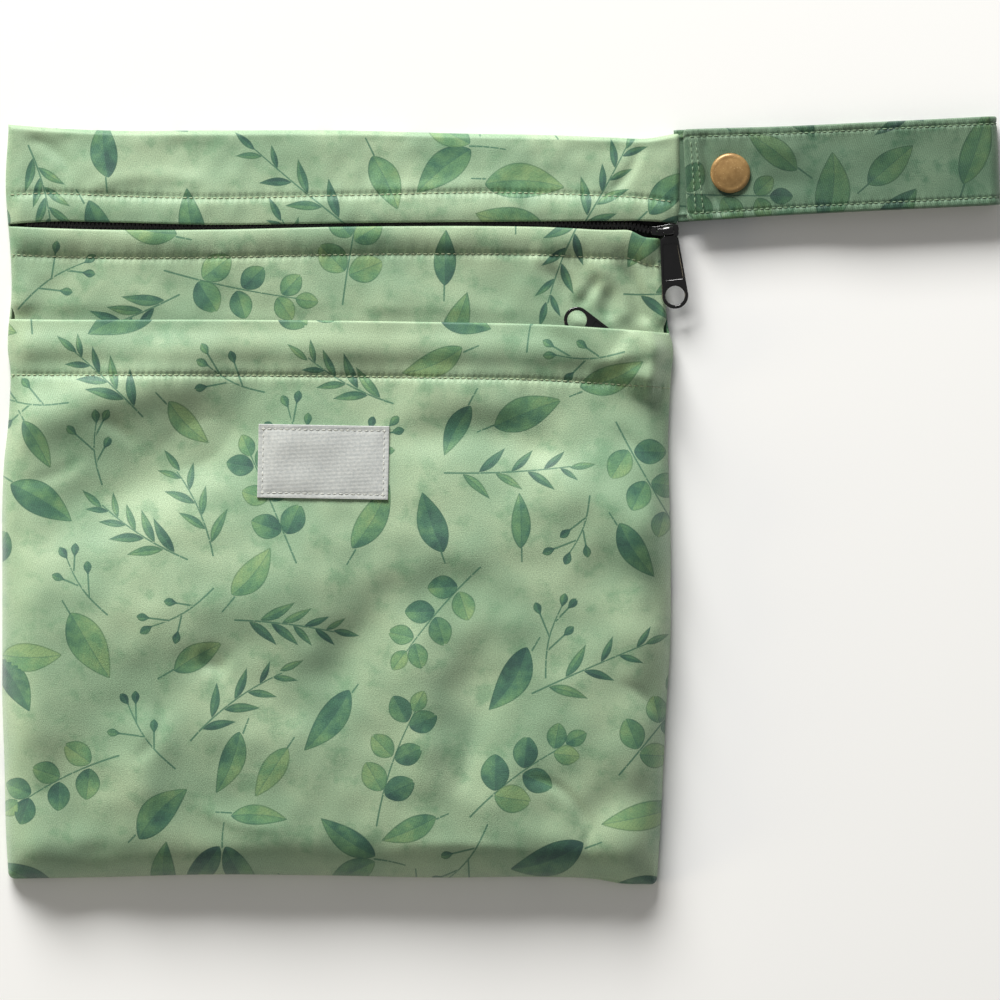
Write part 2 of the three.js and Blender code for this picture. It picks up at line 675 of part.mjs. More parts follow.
function makeLabel() {
  const turn = THREE.MathUtils.degToRad(labelTurn);
  const centreX = labelAcross * bodyWidth;
  const centreY = (1 - labelDown) * bodyLength;
  const face = (u, v, lift) => {
    const alongX = (u - 0.5) * labelWidth;
    const alongY = (0.5 - v) * labelLength;
    const x = centreX + alongX * Math.cos(turn) - alongY * Math.sin(turn);
    const y = centreY + alongX * Math.sin(turn) + alongY * Math.cos(turn);
    return [x, y, pocketTop(x, y) + clearance + facetAllowance + lift];
  };
  const columns = steps([0], 6, [0]);
  const rows = steps([0], 4, [0]);
  return sheet(columns, rows, (u, v) => face(u, v, labelWall), (u, v) => face(u, v, 0));
}

// Strap: out of the seam, flat to its fold and back over itself, in its own frame with x along it
const strapUnderLevel = snapBackHeight + clearance + strapWall / 2;
const strapSnapGap = snapSocketHeight + 2 * clearance;

function strapUnder(at) {
  return mix(strapWall / 2, strapUnderLevel, readTable(STRAP_FORM, "at", "under", at));
}

function strapOver(at) {
  const gap = mix(strapSnapGap, strapGap, readTable(STRAP_FORM, "at", "over", at));
  return strapUnder(at) + gap + strapWall;
}

// The middle line of the strap as points of reach and height, from its root to its free end
function strapLine() {
  const bend = (strapOver(1) - strapUnder(1)) / 2;
  const straight = strapReach - bend - strapWall / 2;
  const line = [];
  const count = 14;
  for (let i = 0; i <= count; i++) {
    const at = i / count;
    line.push([straight * at, strapUnder(at)]);
  }
  for (let turn = 1; turn < 6; turn++) {
    const angle = (Math.PI * turn) / 6;
    line.push([straight + bend * Math.sin(angle), strapUnder(1) + bend * (1 - Math.cos(angle))]);
  }
  for (let i = count; i >= 0; i--) {
    const at = i / count;
    line.push([mix(strapEndGap, straight, at), strapOver(at)]);
  }
  return line;
}

function makeStrap() {
  const line = strapLine().map(([x, z]) => new THREE.Vector2(x, z));
  const half = strapWidth / 2;
  const rows = [0, 0.04, 0.96, 1];
  const stations = line.map((point, i) => {
    const before = line[Math.max(0, i - 1)];
    const after = line[Math.min(line.length - 1, i + 1)];
    const heading = after.clone().sub(before).normalize();
    return { point, side: new THREE.Vector2(-heading.y, heading.x) };
  });
  const face = (i, v, sign) => {
    const { point, side } = stations[i];
    const thin = v === 0 || v === 1 ? 0.5 : 1;
    const reach = (sign * strapWall * thin) / 2;
    return [point.x + side.x * reach, half - v * strapWidth, point.y + side.y * reach];
  };
  const columns = stations.map((_, i) => i);
  return sheet(columns, rows, (i, v) => face(i, v, 1), (i, v) => face(i, v, -1));
}

// Snap parts turned about their own upright axis
function makeCap() {
  const profile = [[0, 0], [snapRadius * 0.92, 0], [snapRadius, snapDome * 0.25]];
  for (let i = 1; i <= 5; i++) {
    const angle = (Math.PI / 2) * (i / 5);
    const out = snapRadius * Math.cos(angle) ** 0.8;
    profile.push([i === 5 ? 0 : out, snapDome * (0.35 + 0.65 * Math.sin(angle))]);
  }
  const points = profile.map(([x, y]) => new THREE.Vector2(x, y));
  return new THREE.LatheGeometry(points, 20).rotateX(Math.PI / 2);
}

function makeDisc(radius, height) {
  const rim = height * 0.25;
  const lower = [[0, 0], [radius - rim, 0], [radius, rim]];
  const upper = [[radius, height - rim], [radius - rim, height], [0, height]];
  const profile = [...lower, ...upper];
  const points = profile.map(([x, y]) => new THREE.Vector2(x, y));
  return new THREE.LatheGeometry(points, 20).rotateX(Math.PI / 2);
}

// The scene
const bag = new THREE.Group();

function addPiece(parent, name, geometry, colour, roughness, metalness) {
  const material = new THREE.MeshStandardMaterial({ color: colour, roughness, metalness });
  const mesh = new THREE.Mesh(geometry, material);
  mesh.name = name;
  parent.add(mesh);
  return mesh;
}

addPiece(bag, "back_panel", makeBackPanel(), clothColour, 0.8, 0);
addPiece(bag, "top_band", makeTopBand(), bandColour, 0.8, 0);
addPiece(bag, "middle_panel", makeMiddlePanel(), bandColour, 0.8, 0);
addPiece(bag, "front_pocket_panel", makeFrontPocketPanel(), clothColour, 0.8, 0);
addPiece(bag, "label", makeLabel(), labelColour, 0.9, 0);

// Top zip: its tapes hang under the band and the middle panel, and its coil lies in the gap
const zipLine = (x) => (bandEdge(x) + panelEdge(x)) / 2;
const upperTapeTop = (x, y) => upperTop(x, y) - clothWall - clearance - facetAllowance;
const besideCoil = clearance / 2;
const topTapeHigh = makeTape(
  (x) => zipLine(x) + tapeWidth,
  (x) => zipLine(x) + besideCoil,
  zipEndMargin / 2,
  upperTapeTop,
);
const topTapeLow = makeTape(
  (x) => zipLine(x) - besideCoil,
  (x) => zipLine(x) - tapeWidth,
  zipEndMargin / 2,
  upperTapeTop,
);
const topCoil = makeCoil(
  zipLine,
  leftEdge(zipEndLevel) + zipEndMargin,
  sliderStart - clearance,
  (x, y) => upperTapeTop(x, y) + clearance,
);
addPiece(bag, "top_zip_upper_tape", topTapeHigh, blackColour, 0.8, 0);
addPiece(bag, "top_zip_lower_tape", topTapeLow, blackColour, 0.8, 0);
addPiece(bag, "top_zip_coil", topCoil, blackColour, 0.4, 0);

const sliderY = zipLine(sliderX);
const sliderZ = upperTapeTop(sliderStart, sliderY) + 2 * clearance;
const topZipEnd = new THREE.Group();
topZipEnd.position.set(sliderX, sliderY, sliderZ);
bag.add(topZipEnd);
addPiece(topZipEnd, "top_zip_slider", makeSlider(), blackColour, 0.25, 0.6);

// The pull lies over the side of the bag: its far end comes to rest just above the cloth
const barLevel = sliderZ + sliderHeight + bridgeRise;
const topPullPoint = THREE.MathUtils.degToRad(pullYaw - 90);
const pullDrop = pullDropTo(sliderX + pullHeadShift, sliderY, barLevel, topPullPoint, middleTop);
const topPull = addPiece(topZipEnd, "top_zip_pull", makePull(true), blackColour, 0.25, 0.6);
topPull.position.set(pullHeadShift, 0, sliderHeight + bridgeRise);
topPull.rotation.set(pullDrop, 0, topPullPoint + Math.PI / 2, "ZXY");

// Lower zip, under the pocket's hem
const lowerTapeHigh = makeTape(
  (x) => pocketEdge(x) - clearance,
  (x) => lowerLine(x) + besideCoil,
  lowerTapeMargin,
  lowerTapeTop,
);
const lowerTapeLow = makeTape(
  (x) => lowerLine(x) - besideCoil,
  (x) => lowerLine(x) - tapeWidth,
  lowerTapeMargin,
  lowerTapeTop,
);
const lowerCoil = makeCoil(
  lowerLine,
  leftEdge(lowerSliderY) + lowerTapeMargin,
  lowerSliderX - sliderLength / 2 - clearance,
  (x, y) => lowerTapeTop(x, y) + clearance,
);
addPiece(bag, "lower_zip_upper_tape", lowerTapeHigh, blackColour, 0.8, 0);
addPiece(bag, "lower_zip_lower_tape", lowerTapeLow, blackColour, 0.8, 0);
addPiece(bag, "lower_zip_coil", lowerCoil, blackColour, 0.4, 0);

const lowerZipEnd = new THREE.Group();
lowerZipEnd.position.set(lowerSliderX, lowerSliderY, lowerSliderZ);
bag.add(lowerZipEnd);
addPiece(lowerZipEnd, "lower_zip_slider", makeSlider(), blackColour, 0.25, 0.6);

const lowerPull = addPiece(lowerZipEnd, "lower_zip_pull", makePull(false), blackColour, 0.25, 0.6);
lowerPull.position.set(legX, 0, headLevel);
lowerPull.rotation.set(lowerDrop, 0, THREE.MathUtils.degToRad(lowerPullYaw), "ZXY");

// Strap and snap stand in one group at the strap's root, a clearance outside the side seam.
// The tilted root would cut into the seam at its lower corner, so it steps out by that much.
const strapY = bodyLength * (1 - strapDown);
const strapTurn = THREE.MathUtils.degToRad(strapTilt);
const strapStepOut = (strapWidth / 2) * Math.abs(Math.sin(strapTurn));
const strapGroup = new THREE.Group();
strapGroup.position.set(rightEdge(strapY) + clearance + strapStepOut, strapY, 0);
strapGroup.rotation.z = strapTurn;
bag.add(strapGroup);

const snapAt = snapFromRoot / strapReach;
addPiece(strapGroup, "hand_strap", makeStrap(), clothColour, 0.8, 0);
const snapCap = addPiece(strapGroup, "snap_cap", makeCap(), brassColour, 0.4, 0.7);
snapCap.position.set(snapFromRoot, 0, strapOver(snapAt) + strapWall / 2 + clearance);
const socket = makeDisc(snapSocketRadius, snapSocketHeight);
const snapSocket = addPiece(strapGroup, "snap_socket", socket, brassColour, 0.4, 0.7);
snapSocket.position.set(snapFromRoot, 0, strapUnder(snapAt) + strapWall / 2 + clearance);
const backCap = makeDisc(snapRadius, snapBackHeight);
const snapBack = addPiece(strapGroup, "snap_back_cap", backCap, brassColour, 0.4, 0.7);
snapBack.position.set(snapFromRoot, 0, 0);

// The origin is under the middle of the whole object, on the table
bag.updateMatrixWorld(true);
const bounds = new THREE.Box3().setFromObject(bag, true);
const middle = bounds.getCenter(new THREE.Vector3());
bag.position.set(-middle.x, -middle.y, -bounds.min.z);

export default bag;
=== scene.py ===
import json
import math

import bmesh
import bpy
import numpy as np
from mathutils import Matrix, Vector


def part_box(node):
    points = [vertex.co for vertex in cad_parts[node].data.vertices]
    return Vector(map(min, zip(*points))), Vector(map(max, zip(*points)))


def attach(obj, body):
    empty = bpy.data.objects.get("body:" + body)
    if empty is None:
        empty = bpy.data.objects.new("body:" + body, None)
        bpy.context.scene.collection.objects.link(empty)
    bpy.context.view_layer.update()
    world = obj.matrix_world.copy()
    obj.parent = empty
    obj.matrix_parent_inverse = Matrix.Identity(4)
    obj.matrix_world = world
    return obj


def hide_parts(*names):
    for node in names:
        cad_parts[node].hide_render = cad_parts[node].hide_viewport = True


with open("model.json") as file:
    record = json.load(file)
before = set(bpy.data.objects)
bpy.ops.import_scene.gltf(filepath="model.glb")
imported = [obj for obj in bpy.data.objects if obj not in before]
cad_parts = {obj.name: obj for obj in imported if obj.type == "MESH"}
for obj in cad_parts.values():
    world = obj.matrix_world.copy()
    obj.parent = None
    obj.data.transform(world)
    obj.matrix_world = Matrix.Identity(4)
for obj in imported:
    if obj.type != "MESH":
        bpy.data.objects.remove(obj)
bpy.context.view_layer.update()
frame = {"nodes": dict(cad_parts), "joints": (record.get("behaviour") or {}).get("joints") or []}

# Back panel. One piece of printed polyester knit with a thin laminate inside, cut a little larger than the
# front pieces and sewn to them right side in, so the turned seam rolls over the edge all round.
# Lengths here are millimetres from the body's lower left corner, as the bag lies, until a mesh is placed.
MILLIMETRE = 0.001
body_corner = (155.079, 117.172)
body_width = 208.0
body_length = 232.0
cloth_wall = 0.7
seam_level = 1.8
seam_roll = 1.8
corner_radius = 2.0
pocket_level = 7.4
seam_stack = 3.6
stitch_pitch = 1.86

# Each row: share of the length down from the top, and shares of the width drawn in at the left and right
side_edges = np.array([
    (0.0, 0.010, -0.012),
    (0.08, 0.006, -0.012),
    (0.118, 0.009, -0.010),
    (0.15, 0.012, 0.009),
    (0.23, 0.014, 0.009),
    (0.265, 0.010, 0.005),
    (0.29, 0.009, -0.002),
    (0.325, 0.013, 0.001),
    (0.36, 0.012, 0.003),
    (0.4, 0.009, 0.005),
    (0.44, 0.004, 0.005),
    (0.5, 0.001, 0.003),
    (0.575, 0.001, 0.0015),
    (0.7, 0.001, 0.003),
    (0.76, 0.001, 0.0075),
    (0.84, 0.004, 0.012),
    (0.95, 0.007, 0.018),
    (1.0, 0.0104, 0.022),
])

# Each row: share across, then shares of the length: top edge, band edge, zip gap (of the widest), pocket edge
# and bottom edge
cross_edges = np.array([
    (0.0, -0.008, 0.0013, 0.25, -0.004, 0.001),
    (0.07, -0.003, -0.002, 0.78, -0.003, 0.0),
    (0.15, 0.0, -0.0007, 0.83, -0.0027, -0.0013),
    (0.3, 0.0, 0.0027, 0.55, -0.0027, -0.0045),
    (0.5, 0.0, 0.0007, 0.4, -0.0013, -0.0032),
    (0.67, 0.004, -0.001, 0.45, 0.001, -0.0005),
    (0.82, 0.0067, -0.002, 0.67, 0.004, -0.0015),
    (0.9, 0.0095, -0.0025, 1.0, 0.0085, 0.001),
    (0.95, 0.0107, -0.0027, 1.0, 0.0115, 0.0075),
    (1.0, 0.003, 0.0, 1.0, 0.015, 0.0085),
])
TOP, BAND, GAP, POCKET, BOTTOM = 1, 2, 3, 4, 5


def read_rows(rows, column, at):
    """The smooth curve through a column of a table, read at shares of its first column."""
    at = np.asarray(at, float)
    places, values = rows[:, 0], rows[:, column]
    slopes = np.gradient(values, places)
    low = np.clip(np.searchsorted(places, at) - 1, 0, len(places) - 2)
    run = places[low + 1] - places[low]
    t = np.clip((at - places[low]) / run, 0, 1)
    start = (2 * t**3 - 3 * t**2 + 1) * values[low] + (t**3 - 2 * t**2 + t) * run * slopes[low]
    return start + (3 * t**2 - 2 * t**3) * values[low + 1] + (t**3 - t**2) * run * slopes[low + 1]


def smooth(low, high, value):
    t = np.clip((value - low) / (high - low), 0, 1)
    return t * t * (3 - 2 * t)


def mix(low, high, share):
    return low + (high - low) * share


def bottom_edge(x):
    return -body_length * read_rows(cross_edges, BOTTOM, x / body_width)


def top_edge(x):
    return body_length * (1 - read_rows(cross_edges, TOP, x / body_width))


def corner_inset(x, y):
    left = np.clip(corner_radius - np.maximum(0, y - bottom_edge(x)), 0, corner_radius)
    return corner_radius - np.sqrt(corner_radius**2 - left**2)


def left_edge(y):
    drawn = read_rows(side_edges, 1, 1 - y / body_length)
    return body_width * drawn + corner_inset(0 * y, y)


def right_edge(y):
    drawn = read_rows(side_edges, 2, 1 - y / body_length)
    return body_width * (1 - drawn) - corner_inset(0 * y + body_width, y)


def swell(share):
    return 1 - np.abs(2 * np.clip(share, 0, 1) - 1) ** 4


def puff(x, y):
    across = (x - left_edge(y)) / (right_edge(y) - left_edge(y))
    down = (top_edge(x) - y) / (top_edge(x) - bottom_edge(x))
    return swell(across) * swell(down)


def side_distance(x, y):
    return np.minimum(x - left_edge(y), right_edge(y) - x)


def roll(distance, radius):
    """0 at the seam, 1 past the rolled edge, along a quarter of a circle."""
    left = np.clip(1 - distance / radius, 0, 1)
    return np.sqrt(1 - left * left)


def rolled(radius, *distances):
    """0 at any of some seams, 1 past all their rolled edges."""
    share = 1
    for distance in distances:
        share = share * roll(distance, radius)
    return share


def undulation(x, y, length, seed):
    """Soft irregular waves of about that length, from -1 to 1."""
    waves = np.random.default_rng(seed)
    total = 0
    count = 9
    for turn, phase, stretch in waves.random((count, 3)):
        heading = math.pi * turn
        along = x * math.cos(heading) + y * math.sin(heading)
        total = total + np.sin(2 * math.pi * (along / (length * (0.7 + 0.7 * stretch)) + phase))
    return total / math.sqrt(count) / 1.4


def stations(length, near, step, far):
    """Distances along a length: close ones near its start and its end, and even steps between them."""
    start, end = near[-1], length - far[-1]
    even = np.linspace(start, end, max(2, int(round((end - start) / step)) + 1))[1:-1]
    return np.concatenate([near, even, length - np.array(far[::-1])])


ROLL_NEAR = (0, 0.05, 0.18, 0.4, 0.7, 1.05, 1.45, 1.9, 2.5, 3.3)


def place(points):
    """Millimetres from the body's corner to metres in the row frame."""
    return (np.asarray(points, float) - (*body_corner, 0)) * MILLIMETRE


def put(name, data):
    """A new object in the scene."""
    made = bpy.data.objects.new(name, data)
    bpy.context.scene.collection.objects.link(made)
    return made


def settled(holder):
    """The plain mesh that an object comes to. The object itself goes."""
    graph = bpy.context.evaluated_depsgraph_get()
    mesh = bpy.data.meshes.new_from_object(holder.evaluated_get(graph))
    bpy.data.objects.remove(holder)
    return mesh


def mesh_from(shape, name):
    mesh = bpy.data.meshes.new(name)
    shape.to_mesh(mesh)
    shape.free()
    return mesh


def grid(*parts):
    return np.stack(parts, axis=2)


def keep_vectors(mesh, name, domain, vectors):
    """Stores a vector for each point or face, for the materials to read."""
    made = mesh.attributes.new(name, "FLOAT_VECTOR", domain)
    made.data.foreach_set("vector", vectors.astype(np.float32).ravel())


NO_SEAM = 50.0


def closed_cloth(name, outer, inner, flat, seam=None):
    """A closed sheet from two grids of points, outer face up, joined round the rim.
    flat is the cloth before it was sewn, and seam the distance and the run along the nearest stitch row."""
    rows, columns = outer.shape[:2]
    points = place(np.concatenate([outer.reshape(-1, 3), inner.reshape(-1, 3)]))
    index = np.arange(rows * columns).reshape(rows, columns)
    under = index + rows * columns

    def quads(a, b, c, d):
        return np.stack([a.ravel(), b.ravel(), c.ravel(), d.ravel()], axis=1)

    faces = np.concatenate([
        quads(index[:-1, :-1], index[1:, :-1], index[1:, 1:], index[:-1, 1:]),
        quads(under[:-1, :-1], under[:-1, 1:], under[1:, 1:], under[1:, :-1]),
        quads(index[0, :-1], index[0, 1:], under[0, 1:], under[0, :-1]),
        quads(index[-1, 1:], index[-1, :-1], under[-1, :-1], under[-1, 1:]),
        quads(index[1:, 0], index[:-1, 0], under[:-1, 0], under[1:, 0]),
        quads(index[:-1, -1], index[1:, -1], under[1:, -1], under[:-1, -1]),
    ])
    mesh = bpy.data.meshes.new(name)
    mesh.from_pydata(points.tolist(), [], faces.tolist())
    mesh.polygons.foreach_set("use_smooth", np.ones(len(faces), bool))
    cloth_points = np.zeros((len(points), 3), np.float32)
    cloth_points[:, :2] = np.concatenate([flat.reshape(-1, 2), flat.reshape(-1, 2)])
    keep_vectors(mesh, "flat", "POINT", cloth_points)
    stitched = np.full((len(points), 3), NO_SEAM, np.float32)
    if seam is not None:
        stitched[:, :2] = np.concatenate([seam.reshape(-1, 2), seam.reshape(-1, 2)])
    keep_vectors(mesh, "seam", "POINT", stitched)
    return put(name, mesh)


def coin_sprig(draw):
    """A bowed stalk with pairs of nearly round leaves."""
    run = draw.uniform(34, 42)
    bow = draw.uniform(-0.2, 0.2)
    pairs = 3
    stalk = [(t * run, bow * run * t * (1 - t)) for t in np.linspace(0, 1, 12)]
    leaves = []
    for k in range(pairs):
        t = mix(0.26, 0.86, k / (pairs - 1))
        size = mix(1.0, 0.7, t) * draw.uniform(5.0, 6.2)
        for side in (-1, 1):
            turn = side * draw.uniform(0.75, 1.1)
            reach = size * 1.05 + 0.6
            at = (t + 0.015 * side) * run
            x = at + reach * math.cos(turn)
            y = bow * run * t * (1 - t) + reach * math.sin(turn)
            leaves.append((x, y, turn, size, size * 0.8, draw.uniform(0.1, 1), 0.95, 0.62, 0))
    leaves.append((run + 3.2, 0, -bow, 3.6, 2.7, draw.uniform(0.1, 1), 0.95, 0.65, 0))
    return leaves, [stalk]


def lance_frond(draw):
    """A straight stalk with narrow leaves that shorten towards its tip."""
    run = draw.uniform(28, 40)
    bow = draw.uniform(-0.25, 0.25)
    count = int(draw.integers(6, 9))
    stalk = [(t * run, bow * run * t * (1 - t)) for t in np.linspace(0, 1, 12)]
    leaves = []
    for k in range(count):
        t = mix(0.15, 0.92, k / (count - 1))
        side = 1 if k % 2 else -1
        size = mix(6.4, 3.6, t) * draw.uniform(0.9, 1.15)
        turn = side * draw.uniform(0.5, 0.75) + bow * (1 - 2 * t)
        x = t * run + size * math.cos(turn)
        y = bow * run * t * (1 - t) + size * math.sin(turn)
        leaves.append((x, y, turn, size, size * 0.27, draw.uniform(0.35, 1.1), 0.8, 1.0, side * 0.012))
    leaves.append((run + 4, 0, -bow, 4.2, 1.2, draw.uniform(0.3, 1), 0.8, 1.0, 0))
    return leaves, [stalk]


def broad_pair(draw):
    """Two broad leaves side by side on one short stalk."""
    leaves = []
    for side in (-1, 1):
        size = draw.uniform(8.4, 11)
        turn = side * draw.uniform(0.45, 0.8)
        x, y = (size + 0.4) * math.cos(turn), (size + 0.4) * math.sin(turn)
        shape = (size, size * draw.uniform(0.38, 0.48), draw.uniform(0, 1), 0.78, 0.85, side * 0.008)
        leaves.append((x, y, turn, *shape))
    run = draw.uniform(7, 11)
    return leaves, [[(-t * run, 0.1 * run * t * t) for t in np.linspace(0, 1, 6)]]


def lone_leaf(draw):
    """One broad leaf on a short stalk."""
    size = draw.uniform(8.5, 12.5)
    bend = draw.uniform(-0.014, 0.014)
    leaf = (size, 0, 0, size, size * draw.uniform(0.36, 0.5), draw.uniform(0, 1), 0.8, 0.85, bend)
    run = draw.uniform(3, 6)
    return [leaf], [[(-t * run, bend * run * t) for t in np.linspace(0, 1, 4)]]


def bud_twig(draw):
    """A forked twig that ends in small drop-shaped buds."""
    run = draw.uniform(18, 27)
    stalks = [[(t * run, 0.08 * run * math.sin(3 * t)) for t in np.linspace(0, 1, 9)]]
    leaves = [(run + 1.8, 0.01 * run, 0, 2.3, 1.4, draw.uniform(0.6, 1.1), 1.3, 0.8, 0)]
    for k, t in enumerate((0.35, 0.55, 0.75)):
        side = 1 if k % 2 else -1
        turn = side * draw.uniform(0.5, 0.85)
        reach = draw.uniform(5, 8)
        root = (t * run, 0.08 * run * math.sin(3 * t))
        tip = (root[0] + reach * math.cos(turn), root[1] + reach * math.sin(turn))
        stalks.append([root, tip])
        end = (tip[0] + 1.7 * math.cos(turn), tip[1] + 1.7 * math.sin(turn))
        leaves.append((*end, turn, 2.2, 1.35, draw.uniform(0.6, 1.1), 1.3, 0.8, 0))
    return leaves, stalks


def scatter_print(seed, width, length, tries=1500):
    """Sprigs thrown over a cloth one by one, each kept if it stays clear of the ones before it.
    Returns leaves (centre x, y, turn, half length, half width, tone, fullness, roundness, bend) and
    pieces of stalk (x, y, x, y, radius, tone)."""
    draw = np.random.default_rng(seed)
    kinds = (coin_sprig, lance_frond, broad_pair, coin_sprig, lone_leaf, lance_frond, bud_twig, lone_leaf)
    leaves, stalks = [], []
    taken = np.zeros((0, 3))
    for attempt in range(tries):
        make = kinds[int(draw.integers(0, len(kinds)))] if attempt < 0.7 * tries else lone_leaf
        new_leaves, new_stalks = make(draw)
        turn = draw.uniform(0, 2 * math.pi)
        across, up = draw.uniform(-12, width + 12), draw.uniform(-12, length + 12)
        c, s = math.cos(turn), math.sin(turn)
        turned = []
        discs = []
        for x, y, heading, *shape in new_leaves:
            centre = (across + c * x - s * y, up + s * x + c * y)
            turned.append((*centre, heading + turn, *shape))
            for share in (-0.6, 0, 0.6):
                reach = share * shape[0]
                discs.append((centre[0] + reach * math.cos(heading + turn),
                              centre[1] + reach * math.sin(heading + turn), shape[1] * 0.9))
        lines = []
        for line in new_stalks:
            moved = [(across + c * x - s * y, up + s * x + c * y) for x, y in line]
            lines.append(moved)
            discs.extend((x, y, 0.5) for x, y in moved)
        discs = np.array(discs)
        if len(taken):
            apart = np.hypot(discs[:, None, 0] - taken[None, :, 0], discs[:, None, 1] - taken[None, :, 1])
            room = (apart - discs[:, None, 2] - taken[None, :, 2]).min()
            if room < (1.7 if attempt < 0.5 * tries else 1.3):
                continue
        taken = np.concatenate([taken, discs])
        leaves.extend(turned)
        tone = draw.uniform(0.5, 1)
        for line in lines:
            for k in range(len(line) - 1):
                thin = 0.24 - 0.1 * k / len(line)
                stalks.append((*line[k], *line[k + 1], thin, tone))
    return np.array(leaves), np.array(stalks)


def leaf_depth(points, leaf):
    """How deep points lie in a leaf, as a share of its half width: above 0 inside."""
    x, y, turn, half, wide, _, fullness, roundness, bend = leaf
    c, s = math.cos(turn), math.sin(turn)
    along = c * (points[:, 0] - x) + s * (points[:, 1] - y)
    beside = -s * (points[:, 0] - x) + c * (points[:, 1] - y) - bend * along * along
    t = np.clip((along + half) / (2 * half), 0, 1)
    outline = wide * np.sin(math.pi * t**fullness) ** roundness
    past = np.maximum(np.abs(along) - half, 0)
    return outline - np.abs(beside) - past


def carry_print(piece, seed, width, length):
    """Gives every face of a cloth piece the nearest two leaves and the nearest bit of stalk of its print."""
    mesh = piece.data
    leaves, stalks = scatter_print(seed, width, length)
    flat = np.zeros(len(mesh.vertices) * 3, np.float32)
    mesh.attributes["flat"].data.foreach_get("vector", flat)
    corners = np.zeros(len(mesh.polygons) * 4, np.int32)
    mesh.polygons.foreach_get("vertices", corners)
    centres = flat.reshape(-1, 3)[corners.reshape(-1, 4)].mean(axis=1)[:, :2]
    count = len(centres)
    best = np.full((2, count), -40.0)
    chosen = np.full((2, count), -1)
    for number, leaf in enumerate(leaves):
        near = np.flatnonzero(np.hypot(centres[:, 0] - leaf[0], centres[:, 1] - leaf[1]) < leaf[3] + 4)
        if not len(near):
            continue
        depth = leaf_depth(centres[near], leaf)
        first = depth > best[0, near]
        moved = near[first]
        best[1, moved], chosen[1, moved] = best[0, moved], chosen[0, moved]
        best[0, moved], chosen[0, moved] = depth[first], number
        rest = near[~first]
        second = depth[~first] > best[1, rest]
        best[1, rest[second]], chosen[1, rest[second]] = depth[~first][second], number
    nowhere = (-999, -999, 0, 1, 1, 0, 1, 1, 0)
    table = np.vstack([leaves, nowhere])
    for slot, number in enumerate(chosen):
        facts = table[number]
        for part, columns in (("place", slice(0, 3)), ("size", slice(3, 6)), ("shape", slice(6, 9))):
            keep_vectors(mesh, f"leaf{slot}_{part}", "FACE", facts[:, columns])
    near_stalk = np.full(count, 30.0)
    stalk = np.full(count, -1)
    for number, (x0, y0, x1, y1, _, _) in enumerate(stalks):
        middle = ((x0 + x1) / 2, (y0 + y1) / 2)
        reach = math.hypot(x1 - x0, y1 - y0) / 2 + 4
        near = np.flatnonzero(np.hypot(centres[:, 0] - middle[0], centres[:, 1] - middle[1]) < reach)
        if not len(near):
            continue
        run = np.array((x1 - x0, y1 - y0))
        off = centres[near] - (x0, y0)
        t = np.clip(off @ run / (run @ run), 0, 1)
        away = np.hypot(*(off - t[:, None] * run).T)
        closer = away < near_stalk[near]
        near_stalk[near[closer]], stalk[near[closer]] = away[closer], number
    facts = np.vstack([stalks, (-999, -999, -998, -999, 0.1, 0)])[stalk]
    for part, columns in (("from", (0, 1, 4)), ("to", (2, 3, 5))):
        keep_vectors(mesh, f"stalk_{part}", "FACE", facts[:, columns])


def node(tree, kind, inputs=None, **settings):
    """A node of a tree with its settings, its values and its links from other nodes' outputs."""
    made = tree.nodes.new(kind)
    for name, value in settings.items():
        setattr(made, name, value)
    for key, value in (inputs or {}).items():
        if isinstance(value, bpy.types.NodeSocket):
            tree.links.new(value, made.inputs[key])
        else:
            made.inputs[key].default_value = value
    return made


def calc(tree, operation, *values, clamp=False):
    made = node(tree, "ShaderNodeMath", dict(enumerate(values)), operation=operation, use_clamp=clamp)
    return made.outputs[0]


def times(tree, first, second):
    return calc(tree, "MULTIPLY", first, second)


def plus(tree, first, second):
    return calc(tree, "ADD", first, second)


def minus(tree, first, second):
    return calc(tree, "SUBTRACT", first, second)


def cloud(tree, where, scale, detail, rough=0.5):
    """Soft noise from 0 to 1."""
    inputs = {"Vector": where, "Scale": scale, "Detail": detail, "Roughness": rough}
    return node(tree, "ShaderNodeTexNoise", inputs).outputs[0]


def fade(tree, value, low, high, to_low=0.0, to_high=1.0):
    """to_low below low, to_high above high, eased between."""
    inputs = {"Value": value, "From Min": low, "From Max": high, "To Min": to_low, "To Max": to_high}
    return node(tree, "ShaderNodeMapRange", inputs, interpolation_type="SMOOTHSTEP").outputs[0]


def blend_colours(tree, share, first, second, how="MIX"):
    made = node(tree, "ShaderNodeMix", {0: share, 6: first, 7: second}, data_type="RGBA", blend_type=how)
    return made.outputs[2]


def paint(red, green, blue):
    """A colour as seen on a screen, 0 to 255, as the shaders want it."""
    def linear(value):
        value = value / 255
        return value / 12.92 if value <= 0.04045 else ((value + 0.055) / 1.055) ** 2.4
    return (linear(red), linear(green), linear(blue), 1.0)


def new_material(name):
    material = bpy.data.materials.new(name)
    material.use_nodes = True
    return material, material.node_tree, material.node_tree.nodes["Principled BSDF"]


def raise_surface(tree, shader, height, strength, distance):
    bump = node(tree, "ShaderNodeBump", {"Height": height, "Strength": strength, "Distance": distance})
    tree.links.new(bump.outputs[0], shader.inputs["Normal"])


def attribute(tree, name):
    return node(tree, "ShaderNodeAttribute", attribute_name=name).outputs["Vector"]


def split(tree, vector):
    return node(tree, "ShaderNodeSeparateXYZ", {0: vector}).outputs


